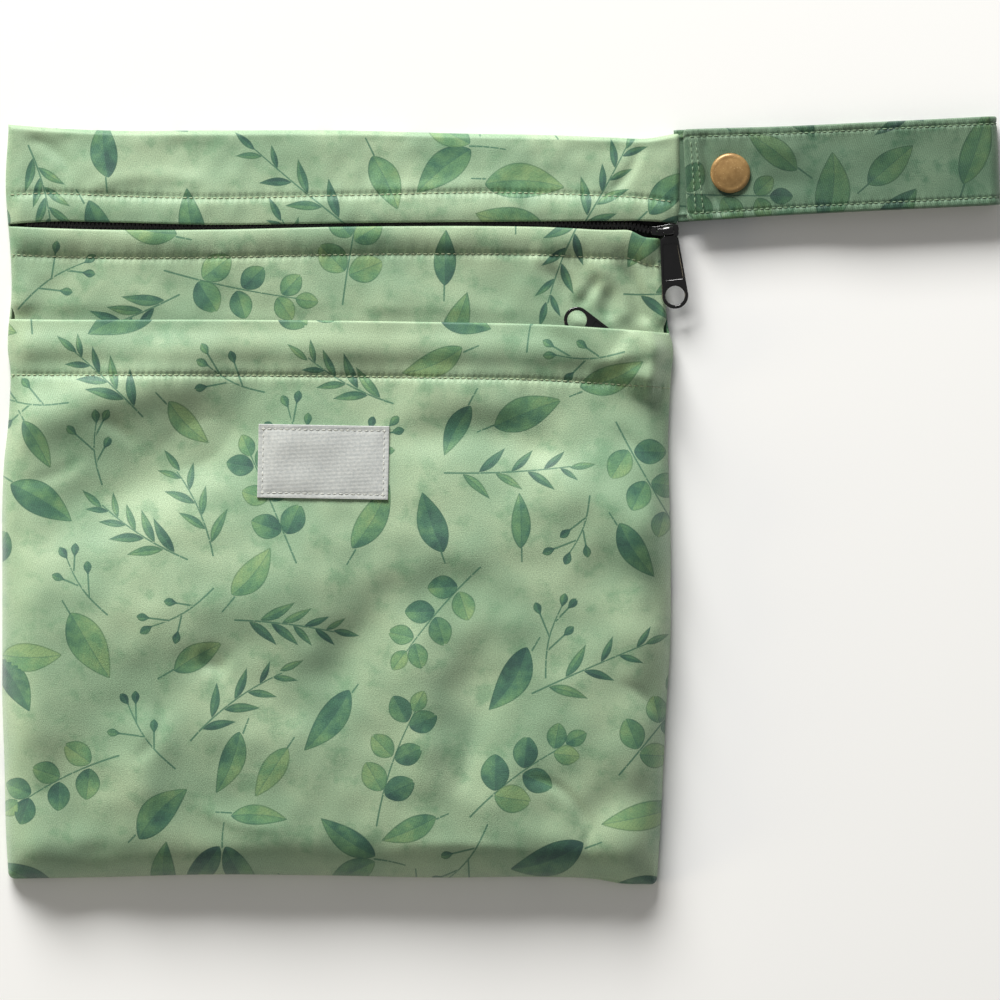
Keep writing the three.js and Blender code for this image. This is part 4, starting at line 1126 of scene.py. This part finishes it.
# Each row: share of the way down from the pocket's edge to its stitches, and share of the hem's lift there
hem_lift = np.array([
    (0.0, 0.7),
    (0.2, 0.77),
    (0.38, 0.96),
    (0.47, 1.0),
    (0.56, 0.96),
    (0.78, 0.66),
    (1.0, 0.56),
])
pocket_folds = (
    (-0.02, 0.412, 0.33, 0.322, 0.03, 9.0, 3.7),
    (-0.02, 0.545, 0.37, 0.395, -0.03, 14.5, -4.1),
    (0.12, 0.66, 0.66, 0.575, -0.03, 15.0, 2.3),
    (0.70, 0.601, 0.49, 0.748, -0.19, 9.0, -2.2),
    (0.61, 0.67, 0.64, 0.87, 0.03, 7.5, 2.0),
    (0.715, 0.69, 0.70, 0.87, -0.05, 8.0, -1.6),
    (0.235, 0.79, 0.20, 0.90, 0.05, 7.5, 1.5),
    (0.06, 0.84, 0.16, 1.0, 0.0, 13.0, -2.4),
    (0.60, 0.41, 0.84, 0.425, 0.05, 8.0, -2.1),
    (0.60, 0.365, 0.80, 0.37, 0.05, 7.0, 1.2),
    (0.80, 0.47, 0.99, 0.55, 0.06, 9.0, 1.4),
    (0.88, 0.58, 1.0, 0.65, 0.1, 9.0, -1.6),
    (0.90, 0.71, 0.99, 0.76, -0.05, 8.0, -1.1),
    (0.86, 0.95, 0.97, 0.88, 0.12, 7.5, -1.6),
    (0.72, 0.90, 0.90, 0.80, 0.1, 9.0, 1.0),
    (0.28, 0.79, 0.50, 0.84, 0.0, 10.0, 1.1),
    (0.30, 0.70, 0.34, 0.72, 0.1, 5.0, -0.8),
)
pocket_creases = (
    (0.88, 0.342, 0.985, 0.31, 0.1, 2.6, -0.8),
    (0.87, 0.33, 0.95, 0.302, 0.1, 2.4, 0.6),
    (0.79, 0.865, 0.87, 0.925, 0.15, 1.8, -0.7),
    (0.875, 0.935, 0.89, 0.985, -0.15, 1.6, -0.6),
    (0.24, 0.77, 0.205, 0.84, 0.12, 2.2, -0.55),
    (0.30, 0.715, 0.33, 0.72, 0.1, 2.2, -0.6),
    (0.445, 0.63, 0.455, 0.69, 0.1, 2.4, -0.3),
    (0.7, 0.80, 0.68, 0.88, 0.06, 2.8, -0.45),
    (0.02, 0.47, 0.12, 0.44, -0.1, 2.4, -0.5),
    (0.14, 0.385, 0.20, 0.42, 0.1, 2.2, -0.55),
    (0.30, 0.905, 0.42, 0.93, -0.08, 2.2, 0.4),
    (0.60, 0.955, 0.80, 0.965, 0.03, 2.2, 0.4),
    (0.93, 0.74, 0.985, 0.80, 0.12, 2.0, -0.5),
    (0.92, 0.40, 0.985, 0.44, -0.1, 2.2, -0.5),
)


def lift_over_zip(x, y, hem):
    """The hem stands higher where the hidden slider and the arm of its pull pass under it."""
    point = math.radians(lower_yaw - 90)
    off_x, off_y = x - lower_slider_at[0], y - lower_slider_at[1]
    ahead = off_x * math.cos(point) + off_y * math.sin(point)
    beside = off_y * math.cos(point) - off_x * math.sin(point)
    beyond = np.maximum(0, np.maximum(ahead - pull_length - eye_radius, -ahead - slider_length / 2))
    away = np.hypot(beyond, beside)
    over_slider = lower_slider_at[2] + 4.0
    over_pull = lower_pull_head[2] + pull_wall / 2 + ahead * math.tan(math.radians(-lower_drop))
    top = mix(over_slider, over_pull, smooth(slider_length / 2, slider_length, ahead))
    room = top + 0.45 - tucked_top(x, y)
    near = eye_radius + 0.15
    return np.maximum(hem, mix(hem, room, 1 - smooth(near, near + slider_length, away)))


def edge_rise(distance):
    """0 at a seam, 1 past the rounded shoulder of the filled-out pocket."""
    return 1 - (1 - np.clip(distance / shoulder_run, 0, 1)) ** 3


def pocket_top(x, y):
    below = pocket_edge(x) - y
    opened = smooth(lifted_depth, 70, below)
    sides = smooth(0, 7, side_distance(x, y))
    ends = smooth(0, 10, y - bottom_edge(x))
    hem = lift_over_zip(x, y, hem_lift_height * read_rows(hem_lift, 1, below / lifted_depth))
    hem = 0.3 + (hem - 0.3) * sides
    full = pocket_depth + 0.75 * (pocket_level - tucked_top(x, y))
    pocket = mix(0.3, full, edge_rise(side_distance(x, y)) * edge_rise(y - bottom_edge(x)))
    gap = mix(hem, pocket, opened) + folds(pocket_folds, x, y) * sides * ends
    plain = tucked_top(x, y) + 1 + np.maximum(0.3, gap)
    sewn = hem_form(x, below - pocket_hem, pocket_hem, below) * smooth(0, 6, side_distance(x, y))
    small = folds(pocket_creases, x, y) + 0.5 * undulation(x, y, 36, 21) + 0.15 * undulation(x, y, 15, 22)
    return plain + sewn + small * sides * ends


pocket_length = body_length - pocket_drop
pocket_down = hem_rows(pocket_length, pocket_hem, 1.0, ROLL_NEAR, pocket_length - ROLL_NEAR[-1] - 0.4)


def pocket_face(under):
    low = lambda x: bottom_edge(x) + cloth_wall * under
    x, y, u, v = span(pocket_edge, low, side_across, pocket_down, cloth_wall * under)
    z = hemmed(pocket_top(x, y), v * pocket_length, pocket_hem, under)
    share = rolled(seam_roll, u * body_width, (1 - u) * body_width, (1 - v) * pocket_length)
    z = mix(seam_level + 0.1 - 0.1 * under, z, share)
    gap = pocket_edge(x) - y - pocket_hem
    return grid(x, y, z), grid(x, y), grid(gap, x)


pocket_cloth = printed_panel("pocket_cloth", pocket_face, 35, pocket_length, "front_pocket_panel")
sew("pocket_stitches", [hem_line(pocket_edge, pocket_hem, pocket_top)])

# Label. A small woven patch, grey-white and bare, laid on the front pocket and sewn on by a line round its
# border. It puckers a little inside the stitches.
label_width = 40.5
label_length = 22.8
label_centre = (0.481 * body_width, (1 - 0.4436) * body_length)
label_turn = math.radians(-1)
label_wall = 0.45
label_margin = 1.55


def label_point(along_x, along_y):
    x = label_centre[0] + along_x * math.cos(label_turn) - along_y * math.sin(label_turn)
    y = label_centre[1] + along_x * math.sin(label_turn) + along_y * math.cos(label_turn)
    return x, y


def label_rise(along_x, along_y):
    """The patch puckers a little inside its stitched border."""
    gap = np.minimum(label_width / 2 - np.abs(along_x), label_length / 2 - np.abs(along_y)) - label_margin
    groove = -0.16 * np.exp(-((gap / 0.5) ** 2))
    swelling = 0.22 * smooth(0, 5, gap)
    ripple = 0.05 * np.sin(along_x * 1.7) * np.exp(-((gap / 2.0) ** 2))
    return 0.25 + groove + swelling + ripple, gap


label_near = (0, 0.05, 0.15, 0.3, 0.6, 1.0, 1.3, 1.55, 1.8, 2.2)
label_across = stations(label_width, label_near, 0.7, label_near)
label_down = stations(label_length, label_near, 0.7, label_near)
along_x, along_y = np.meshgrid(label_across - label_width / 2, label_length / 2 - label_down)
label_x, label_y = label_point(along_x, along_y)
label_lift, label_gap = label_rise(along_x, along_y)
label_base = pocket_top(label_x, label_y) + label_lift
label_face = label_base + label_wall - fold_over(label_gap + label_margin, label_wall / 2)
label_outer, label_inner = grid(label_x, label_y, label_face), grid(label_x, label_y, label_base - 0.2)
label_seam = grid(label_gap, along_x)
label_patch = closed_cloth("label_patch", label_outer, label_inner, grid(along_x, along_y), label_seam)


def label_material():
    """Woven patch: warm white warp over grey, in fine ribs across it, with soft marks of handling."""
    material, tree, shader = new_material("woven label")
    flat = attribute(tree, "flat")
    flat_x, flat_y, _ = split(tree, flat)
    rib = calc(tree, "SINE", times(tree, flat_y, 2 * math.pi / 0.42))
    warp = calc(tree, "SINE", times(tree, flat_x, 2 * math.pi / 0.36))
    weave = plus(tree, times(tree, rib, 0.6), times(tree, warp, 0.4))
    spots = cloud(tree, flat, 1.1, 4.0, 0.65)
    tone = plus(tree, times(tree, weave, 0.16), spots)
    colour = blend_colours(tree, fade(tree, tone, 0.25, 0.75), paint(160, 165, 164), paint(188, 190, 186))
    tree.links.new(colour, shader.inputs["Base Color"])
    raise_surface(tree, shader, plus(tree, weave, times(tree, spots, 1.2)), 0.5, 0.00008)
    shader.inputs["Roughness"].default_value = 0.8
    shader.inputs["Sheen Weight"].default_value = 0.2
    return material


dress(label_patch, label_material(), "label")
border = []
half_w, half_l = label_width / 2 - label_margin, label_length / 2 - label_margin
corners = [(-half_w, -half_l), (half_w, -half_l), (half_w, half_l), (-half_w, half_l)]
for (x0, y0), (x1, y1) in zip(corners, corners[1:] + corners[:1]):
    share = np.linspace(0, 1, 40)
    side_x, side_y = mix(x0, x1, share), mix(y0, y1, share)
    x, y = label_point(side_x, side_y)
    rise, _ = label_rise(side_x, side_y)
    border.append(np.stack([x, y, pocket_top(x, y) + rise + label_wall + 0.04], axis=1))
grey_thread = thread_material("grey-white thread", paint(206, 208, 200))
sew("label_stitches", border, grey_thread)

# Top zip. The same black coil zip in the gap between the band and the middle panel, closed: its slider stands
# at the right end over the side seam, and the pull hangs down from the slider's bridge over the bag's edge.
coil_pitch = 1.25
coil_wire = 0.3


def zip_line(x):
    return (band_edge(x) + panel_edge(x)) / 2


def tooth_tree():
    """Geometry Nodes: wire loops that lie across a line, one after another, for one side of a coil."""
    tree, given, even, along = line_tree("coil loops", ("Loop Reach", "Loop Width", "Wire"), "Nylon")
    loop = node(tree, "GeometryNodeCurvePrimitiveCircle", {"Resolution": 10, "Radius": 0.5})
    size = node(tree, "ShaderNodeCombineXYZ", {0: given["Loop Width"], 1: given["Loop Reach"], 2: 1.0})
    shaped = node(tree, "GeometryNodeTransform", {"Geometry": loop.outputs[0], "Scale": size.outputs[0]})
    wire = node(tree, "GeometryNodeCurvePrimitiveCircle", {"Resolution": 6, "Radius": given["Wire"]})
    sections = {"Curve": shaped.outputs[0], "Profile Curve": wire.outputs[0]}
    swept = node(tree, "GeometryNodeCurveToMesh", sections)
    turn = node(tree, "FunctionNodeAlignRotationToVector", along, axis="X", pivot_axis="Z")
    laid = {"Points": even, "Instance": swept.outputs[0], "Rotation": turn.outputs[0]}
    finish_tree(tree, laid, given["Nylon"])
    return tree


coil_from, coil_to = 8.2, slider_place[0] - slider_length / 2 + 0.6
coil_x = np.linspace(coil_from, coil_to, 160)
loops = tooth_tree()
sides = []
for side in (-1, 1):
    shifted = coil_x + (0.25 * side) * coil_pitch
    y = zip_line(shifted) + side * 0.42
    sides.append(np.stack([shifted, y, upper_top(shifted, y) - 0.5], axis=1))
teeth = grown("top_coil", sides, loops, pitch=coil_pitch * MILLIMETRE, loop_reach=1.5 * MILLIMETRE,
              loop_width=0.5 * MILLIMETRE, wire=coil_wire * MILLIMETRE, nylon=black_coil)
dress(teeth, black_coil, "top_zip_coil")

dress(make_slider("top_slider", foot_of("top_zip_slider")), black_enamel, "top_zip_slider")
hinge = np.array(frame["joints"][0]["pos_m"]) / MILLIMETRE + (*body_corner, 0)
top_pull = make_pull("top_pull", hinge, 6.1, 5.9, True)
dress(top_pull, black_enamel, "top_zip_pull", body="top_pull")

# Top band. A narrow printed strip above the top zip: its lower edge is hemmed over the zip's tape and
# stitched, and its upper edge turns over the top seam to the back panel.
# Each row: share across, and the hem's width there in mm
top_hem = np.array([(0.0, 9.0), (0.15, 8.4), (0.5, 8.6), (0.75, 9.0), (0.92, 7.6), (1.0, 6.6)])


def band_hem(x):
    return read_rows(top_hem, 1, x / body_width)


def band_top(x, y):
    edge_gap = y - band_edge(x)
    plain = upper_top(x, band_edge(x) + 0.4 * edge_gap) + zip_ridge(x, y, band_edge(x), 26)
    sewn = hem_form(x, edge_gap - band_hem(x), band_hem(x), edge_gap) * smooth(0, 6, side_distance(x, y))
    small = 0.45 * undulation(x, y, 26, 31) + 0.14 * undulation(x, y, 10, 33)
    small = small + 1.3 * folds(upper_creases, x, y)
    return plain + sewn + small * smooth(0, 5, side_distance(x, y)) * smooth(0, 5, top_edge(x) - y)


print_start = 140.0
band_doubled = 8.0
band_middle = np.arange(4.0, band_width - 1.7, 0.7)
band_down = np.concatenate([ROLL_NEAR, band_middle, band_width - np.array(HEM_NEAR[::-1])]) / band_width


def band_face(under):
    high = lambda x: top_edge(x) - cloth_wall * under
    x, y, u, v = span(high, band_edge, side_across, band_down, cloth_wall * under)
    z = hemmed(band_top(x, y), (1 - v) * band_width, band_doubled, under)
    share = rolled(seam_roll, u * body_width, (1 - u) * body_width, v * band_width)
    z = mix(seam_level + 0.1 - 0.1 * under, z, share)
    gap = y - band_edge(x) - band_hem(x)
    return grid(x, y, z), grid(x, y - print_start), grid(gap, x)


band_cloth = printed_panel("band_cloth", band_face, 47, body_length - print_start, "top_band")
sew("band_stitches", [hem_line(lambda x: band_edge(x) + band_hem(x), 0, band_top)])

# Strap. A doubled strip of the printed cloth, topstitched along both edges, that comes out of the right side
# seam, runs out, folds back over itself and is stitched across its end, where a snap closes it to a loop.
strap_root = (211.456, 217.894)
strap_turn = math.radians(2.75)
strap_width = 27.5
strap_reach = 98.0
strap_wall = 1.2
strap_gap = 4.8
snap_gap = 2.2
snap_from_root = 14.6
under_snap = 2.1
strap_edge = 2.25
strap_print = 30

# Each row: share of the reach, then the rise of the under layer and the opening of the loop, as shares
strap_form = np.array([
    (0.0, 1.0, 0.0),
    (0.08, 1.0, 0.0),
    (0.22, 0.98, 0.04),
    (0.38, 0.15, 0.55),
    (0.55, 0.0, 0.95),
    (0.8, 0.0, 1.0),
    (1.0, 0.0, 1.0),
])
# Each row: share of the reach and the strap's width there, in mm
strap_widths = np.array([(0.0, 28.6), (0.1, 28.3), (0.3, 27.5), (0.6, 27.3), (1.0, 27.4)])
# Each row: a fold in the upper layer between two points, in mm of run and across, its half width and rise
strap_folds = (
    (6.6, 12.0, 9.6, -11.5, 1.5, -0.9),
    (9.0, -6.0, 12.5, -13.0, 1.6, -0.7),
    (4.6, 12.0, 5.8, -8.0, 1.3, 0.35),
    (22.0, 9.0, 36.0, 5.0, 2.8, 0.35),
    (24.0, -3.0, 44.0, -5.0, 3.4, -0.4),
    (48.0, 10.0, 62.0, -3.0, 4.2, -0.4),
    (70.0, 4.0, 88.0, 1.0, 5.0, -0.35),
)


def strap_under(at):
    return mix(strap_wall / 2, under_snap, read_rows(strap_form, 1, at))


def strap_over(at):
    return strap_under(at) + mix(snap_gap, strap_gap, read_rows(strap_form, 2, at)) + strap_wall


def strap_centre():
    """The strap's middle line from inside the seam, round the fold, to its free end: run and height."""
    bend = float(strap_over(1) - strap_under(1)) / 2
    straight = strap_reach - bend - strap_wall / 2
    out = np.linspace(-2.2, straight, 125)
    line = [(x, float(strap_under(max(0, x) / straight))) for x in out]
    for turn in np.linspace(0, math.pi, 22)[1:-1]:
        line.append((straight + bend * math.sin(turn), float(strap_under(1)) + bend * (1 - math.cos(turn))))
    back = np.concatenate([np.linspace(straight, 1.9, 128), (1.5, 1.1, 0.8, 0.6)])
    line.extend((x, float(strap_over(x / straight))) for x in back)
    return np.array(line), len(out) + 20


strap_line, over_from = strap_centre()
heading = np.gradient(strap_line, axis=0)
heading /= np.linalg.norm(heading, axis=1)[:, None]
outward = np.stack([heading[:, 1], -heading[:, 0]], axis=1)
strap_run = np.concatenate([[0], np.cumsum(np.linalg.norm(np.diff(strap_line, axis=0), axis=1))])
strap_near = (0, 0.05, 0.18, 0.4, 0.7, 1.1, 1.5, 1.85, 2.1, 2.3, 2.6, 3.0, 3.5)
strap_across = stations(strap_width, strap_near, 0.75, strap_near) - strap_width / 2


def strap_surface(sign):
    """One face of the strap, in its own frame: 1 for the outer face, -1 for the inner one."""
    run, across = np.meshgrid(strap_run, strap_across, indexing="ij")
    at = strap_line[:, 0] / strap_reach
    wide = read_rows(strap_widths, 1, at)[:, None] / strap_width
    free = strap_run[-1] - strap_run
    corner = 1.4 - np.sqrt(np.maximum(0, 1.4**2 - np.clip(1.4 - free, 0, 1.4) ** 2))
    beside = across * (wide - corner[:, None] / (strap_width / 2))
    from_edge = strap_width / 2 - np.abs(across)
    half = strap_wall / 2 * roll(from_edge + 0.02, 0.6) * roll(free + 0.05, 0.6)[:, None]
    groove = 0.3 * np.exp(-(((from_edge - strap_edge) / 0.55) ** 2))
    pucker = 0.09 * np.sin(2 * math.pi * (run / 4.1 + 0.5 * undulation(run, across, 30, 61)))
    pucker = pucker * np.exp(-(((from_edge - strap_edge) / 2.6) ** 2))
    wave = 0.12 * undulation(run, across, 16, 63) * smooth(0, 3, from_edge)
    reach = half + (pucker + wave - groove) * sign * smooth(0.1, 1.5, from_edge)
    local_x = strap_line[:, 0][:, None] + 0 * across
    creases = 0
    for x0, y0, x1, y1, width, rise in strap_folds:
        length = math.hypot(x1 - x0, y1 - y0)
        share = ((local_x - x0) * (x1 - x0) + (beside - y0) * (y1 - y0)) / length**2
        off = ((beside - y0) * (x1 - x0) - (local_x - x0) * (y1 - y0)) / length
        ends = smooth(-0.15, 0.2, share) * (1 - smooth(0.8, 1.15, share))
        creases = creases + rise * ends * np.exp(-((off / width) ** 2))
    dimple = -0.55 * np.exp(-((np.hypot(local_x - snap_from_root, beside) / 8.0) ** 4))
    top_layer = (np.arange(len(strap_line)) > over_from)[:, None] * smooth(0, 2, from_edge)
    lift = (creases + dimple) * top_layer
    x = strap_line[:, 0][:, None] + outward[:, 0][:, None] * reach * sign
    z = strap_line[:, 1][:, None] + outward[:, 1][:, None] * reach * sign + lift
    return x, beside, z, run, across, from_edge


def strap_place(x, across, z):
    c, s = math.cos(strap_turn), math.sin(strap_turn)
    return np.stack([strap_root[0] + c * x - s * across, strap_root[1] + s * x + c * across, z], axis=-1)


x, beside, z, run, across, from_edge = strap_surface(1)
strap_outer = strap_place(x, beside, z)
end_gap = np.abs(run - (strap_run[-1] - 2.6))
edge_gap = from_edge - strap_edge
strap_seam = grid(np.where(end_gap < np.abs(edge_gap), end_gap, edge_gap), run)
inner_x, inner_beside, inner_z, _, _, _ = strap_surface(-1)
strap_inner = strap_place(inner_x, inner_beside, inner_z)
strap_flat = grid(run, across + strap_print / 2)
strap_cloth = closed_cloth("strap_cloth", strap_outer, strap_inner, strap_flat, strap_seam)
carry_print(strap_cloth, 59, float(strap_run[-1]), strap_print)
# The strap is the same printed cloth as the body. Its copy is painted darker and cooler (light 0.47 and a
# blue-green tint), which is painted shade for the light that falls off towards the strap.
shaded_strap_knit = cloth_material("printed strap knit in painted shade", light=0.47, tint=(0.80, 0.97, 0.96), stained=0.95)
dress(strap_cloth, shaded_strap_knit, "hand_strap")


def strap_stitch_line(stations_at, across_at):
    """Points just above the outer face of the strap, along some of its stations and across it."""
    column = np.array([np.abs(strap_across - value).argmin() for value in across_at])
    points = strap_outer[stations_at, column]
    lift = np.stack([outward[stations_at, 0], 0 * column, outward[stations_at, 1]], axis=1) * 0.1
    return points + lift


every = np.arange(3, len(strap_line) - 6)
stitched_at = strap_width / 2 - strap_edge
strap_lines = [strap_stitch_line(every, np.full(len(every), side * stitched_at)) for side in (-1, 1)]
for run_in, lean in ((2.2, 0.5), (3.7, 1.4)):
    across_at = np.linspace(stitched_at, -stitched_at, 34)
    inward = run_in + lean * np.linspace(0, 1, 34)
    at = np.array([np.abs(strap_run - value).argmin() for value in strap_run[-1] - inward])
    line_x = strap_line[-1, 0] + inward
    line_z = np.array([strap_outer[k, np.abs(strap_across - a).argmin(), 2] for k, a in zip(at, across_at)])
    strap_lines.append(strap_place(line_x, across_at, line_z + 0.1))
sew("strap_stitches", strap_lines, thread_material("green thread", paint(128, 156, 122)))

# Snap. A brass-coloured ring snap: a domed cap over the strap's end, its socket between the two layers, and a
# back cap under the strap, all riveted through the cloth.
snap_radius = 6.2
snap_dome = 1.75
snap_sink = 0.35


def snap_profile():
    """The cap's section from the cloth up: a short upright rim, a rounded shoulder and a low crown."""
    rim = [(0.35, -0.1), (0.05, 0.0), (0.0, 0.3), (0.05, 0.5)]
    rim = [(snap_radius - drawn, height) for drawn, height in rim]
    shoulder = []
    for turn in np.linspace(0.25, math.pi / 2, 12):
        shoulder.append((snap_radius - 1.5 + 1.45 * math.cos(turn), 0.35 + 0.85 * math.sin(turn)))
    crown = []
    for share in np.linspace(0.9, 0, 9):
        crown.append((share * (snap_radius - 1.5), 1.2 + (snap_dome - 1.2) * (1 - share**2)))
    return rim + shoulder + crown


def turned_piece(name, profile, centre, count=72):
    """A shape turned about an upright axis, closed below."""
    shape = bmesh.new()
    rings = []
    for radius, height in profile:
        if radius < 1e-6:
            rings.append([shape.verts.new((0, 0, height * MILLIMETRE))])
            continue
        ring = [(x, y, height) for x, y in circle(0, 0, radius, count)]
        rings.append([shape.verts.new(Vector(point) * MILLIMETRE) for point in ring])
    shape.faces.new(list(reversed(rings[0])))
    for lower, upper in zip(rings, rings[1:]):
        for k in range(count):
            if len(upper) == 1:
                shape.faces.new((lower[k], lower[(k + 1) % count], upper[0]))
            else:
                shape.faces.new((lower[k], lower[(k + 1) % count], upper[(k + 1) % count], upper[k]))
    shape.transform(Matrix.Translation(place(centre)))
    mesh = mesh_from(shape, name)
    soften(mesh, 40)
    return put(name, mesh)


def brass_material():
    """Aged brass finish: tan lacquer, browner in patches, with fine pits and pale flecks where the pits are.
    """
    material, tree, shader = new_material("aged brass")
    where = node(tree, "ShaderNodeTexCoord").outputs["Object"]
    patches = cloud(tree, where, 190.0, 5.0, 0.65)
    pits = cloud(tree, where, 1500.0, 3.0, 0.7)
    browned = fade(tree, patches, 0.35, 0.65)
    colour = blend_colours(tree, browned, paint(146, 114, 70), paint(172, 138, 88))
    colour = blend_colours(tree, fade(tree, pits, 0.6, 0.7, 0.0, 0.6), colour, paint(224, 190, 136))
    tree.links.new(colour, shader.inputs["Base Color"])
    tree.links.new(plus(tree, times(tree, patches, 0.25), 0.28), shader.inputs["Roughness"])
    raise_surface(tree, shader, pits, 0.35, 0.00006)
    shader.inputs["Metallic"].default_value = 0.35
    return material


aged_brass = brass_material()
snap_x, snap_y, snap_z = foot_of("snap_cap")
snap_at = (snap_x, snap_y, snap_z - snap_sink)
dress(turned_piece("snap_top", snap_profile(), snap_at), aged_brass, "snap_cap")
finish_solids(aged_brass, "snap_socket", "snap_back_cap")

# Table, light and camera. The bag lies on a plain pale table under a large soft light from beyond its top
# edge, and the camera looks straight down on it.
table_mesh = bpy.data.meshes.new("table")
reach = 2.2
table_corners = [(-reach, -reach, 0), (reach, -reach, 0), (reach, reach, 0), (-reach, reach, 0)]
table_mesh.from_pydata(table_corners, [], [(0, 1, 2, 3)])
table = put("table", table_mesh)
table.location.z = -0.0002
table_paint, _, table_shader = new_material("pale table")
table_shader.inputs["Base Color"].default_value = paint(247, 247, 246)
table_shader.inputs["Roughness"].default_value = 0.9
table_mesh.materials.append(table_paint)


def soft_light(name, at, width, length, power, colour):
    """A rectangular lamp that faces the bag."""
    lamp = bpy.data.lights.new(name, "AREA")
    lamp.shape = "RECTANGLE"
    lamp.size, lamp.size_y = width, length
    lamp.energy = power
    lamp.color = colour
    holder = put(name, lamp)
    holder.location = at
    holder.rotation_euler = (-Vector(at)).to_track_quat("-Z", "Y").to_euler()


soft_light("key", (-0.85, 2.85, 1.25), 1.9, 1.1, 210, (1.0, 0.99, 0.965))
soft_light("side", (-2.4, -0.5, 0.6), 0.8, 0.6, 14, (1.0, 0.86, 0.58))
world = bpy.data.worlds.new("studio")
world.use_nodes = True
world.node_tree.nodes["Background"].inputs["Color"].default_value = (1, 1, 1, 1)
world.node_tree.nodes["Background"].inputs["Strength"].default_value = 0.22
bpy.context.scene.world = world
bpy.context.scene.view_settings.view_transform = "Standard"

camera_data = bpy.data.cameras.new("camera")
camera_height = 2.6
seen_width = 0.31
sensor_width_mm = 36
camera_data.lens = sensor_width_mm * camera_height / seen_width
camera_data.clip_end = 20
camera = put("camera", camera_data)
camera.location = (-0.0004, 0.00013, camera_height + 0.005)
bpy.context.scene.camera = camera
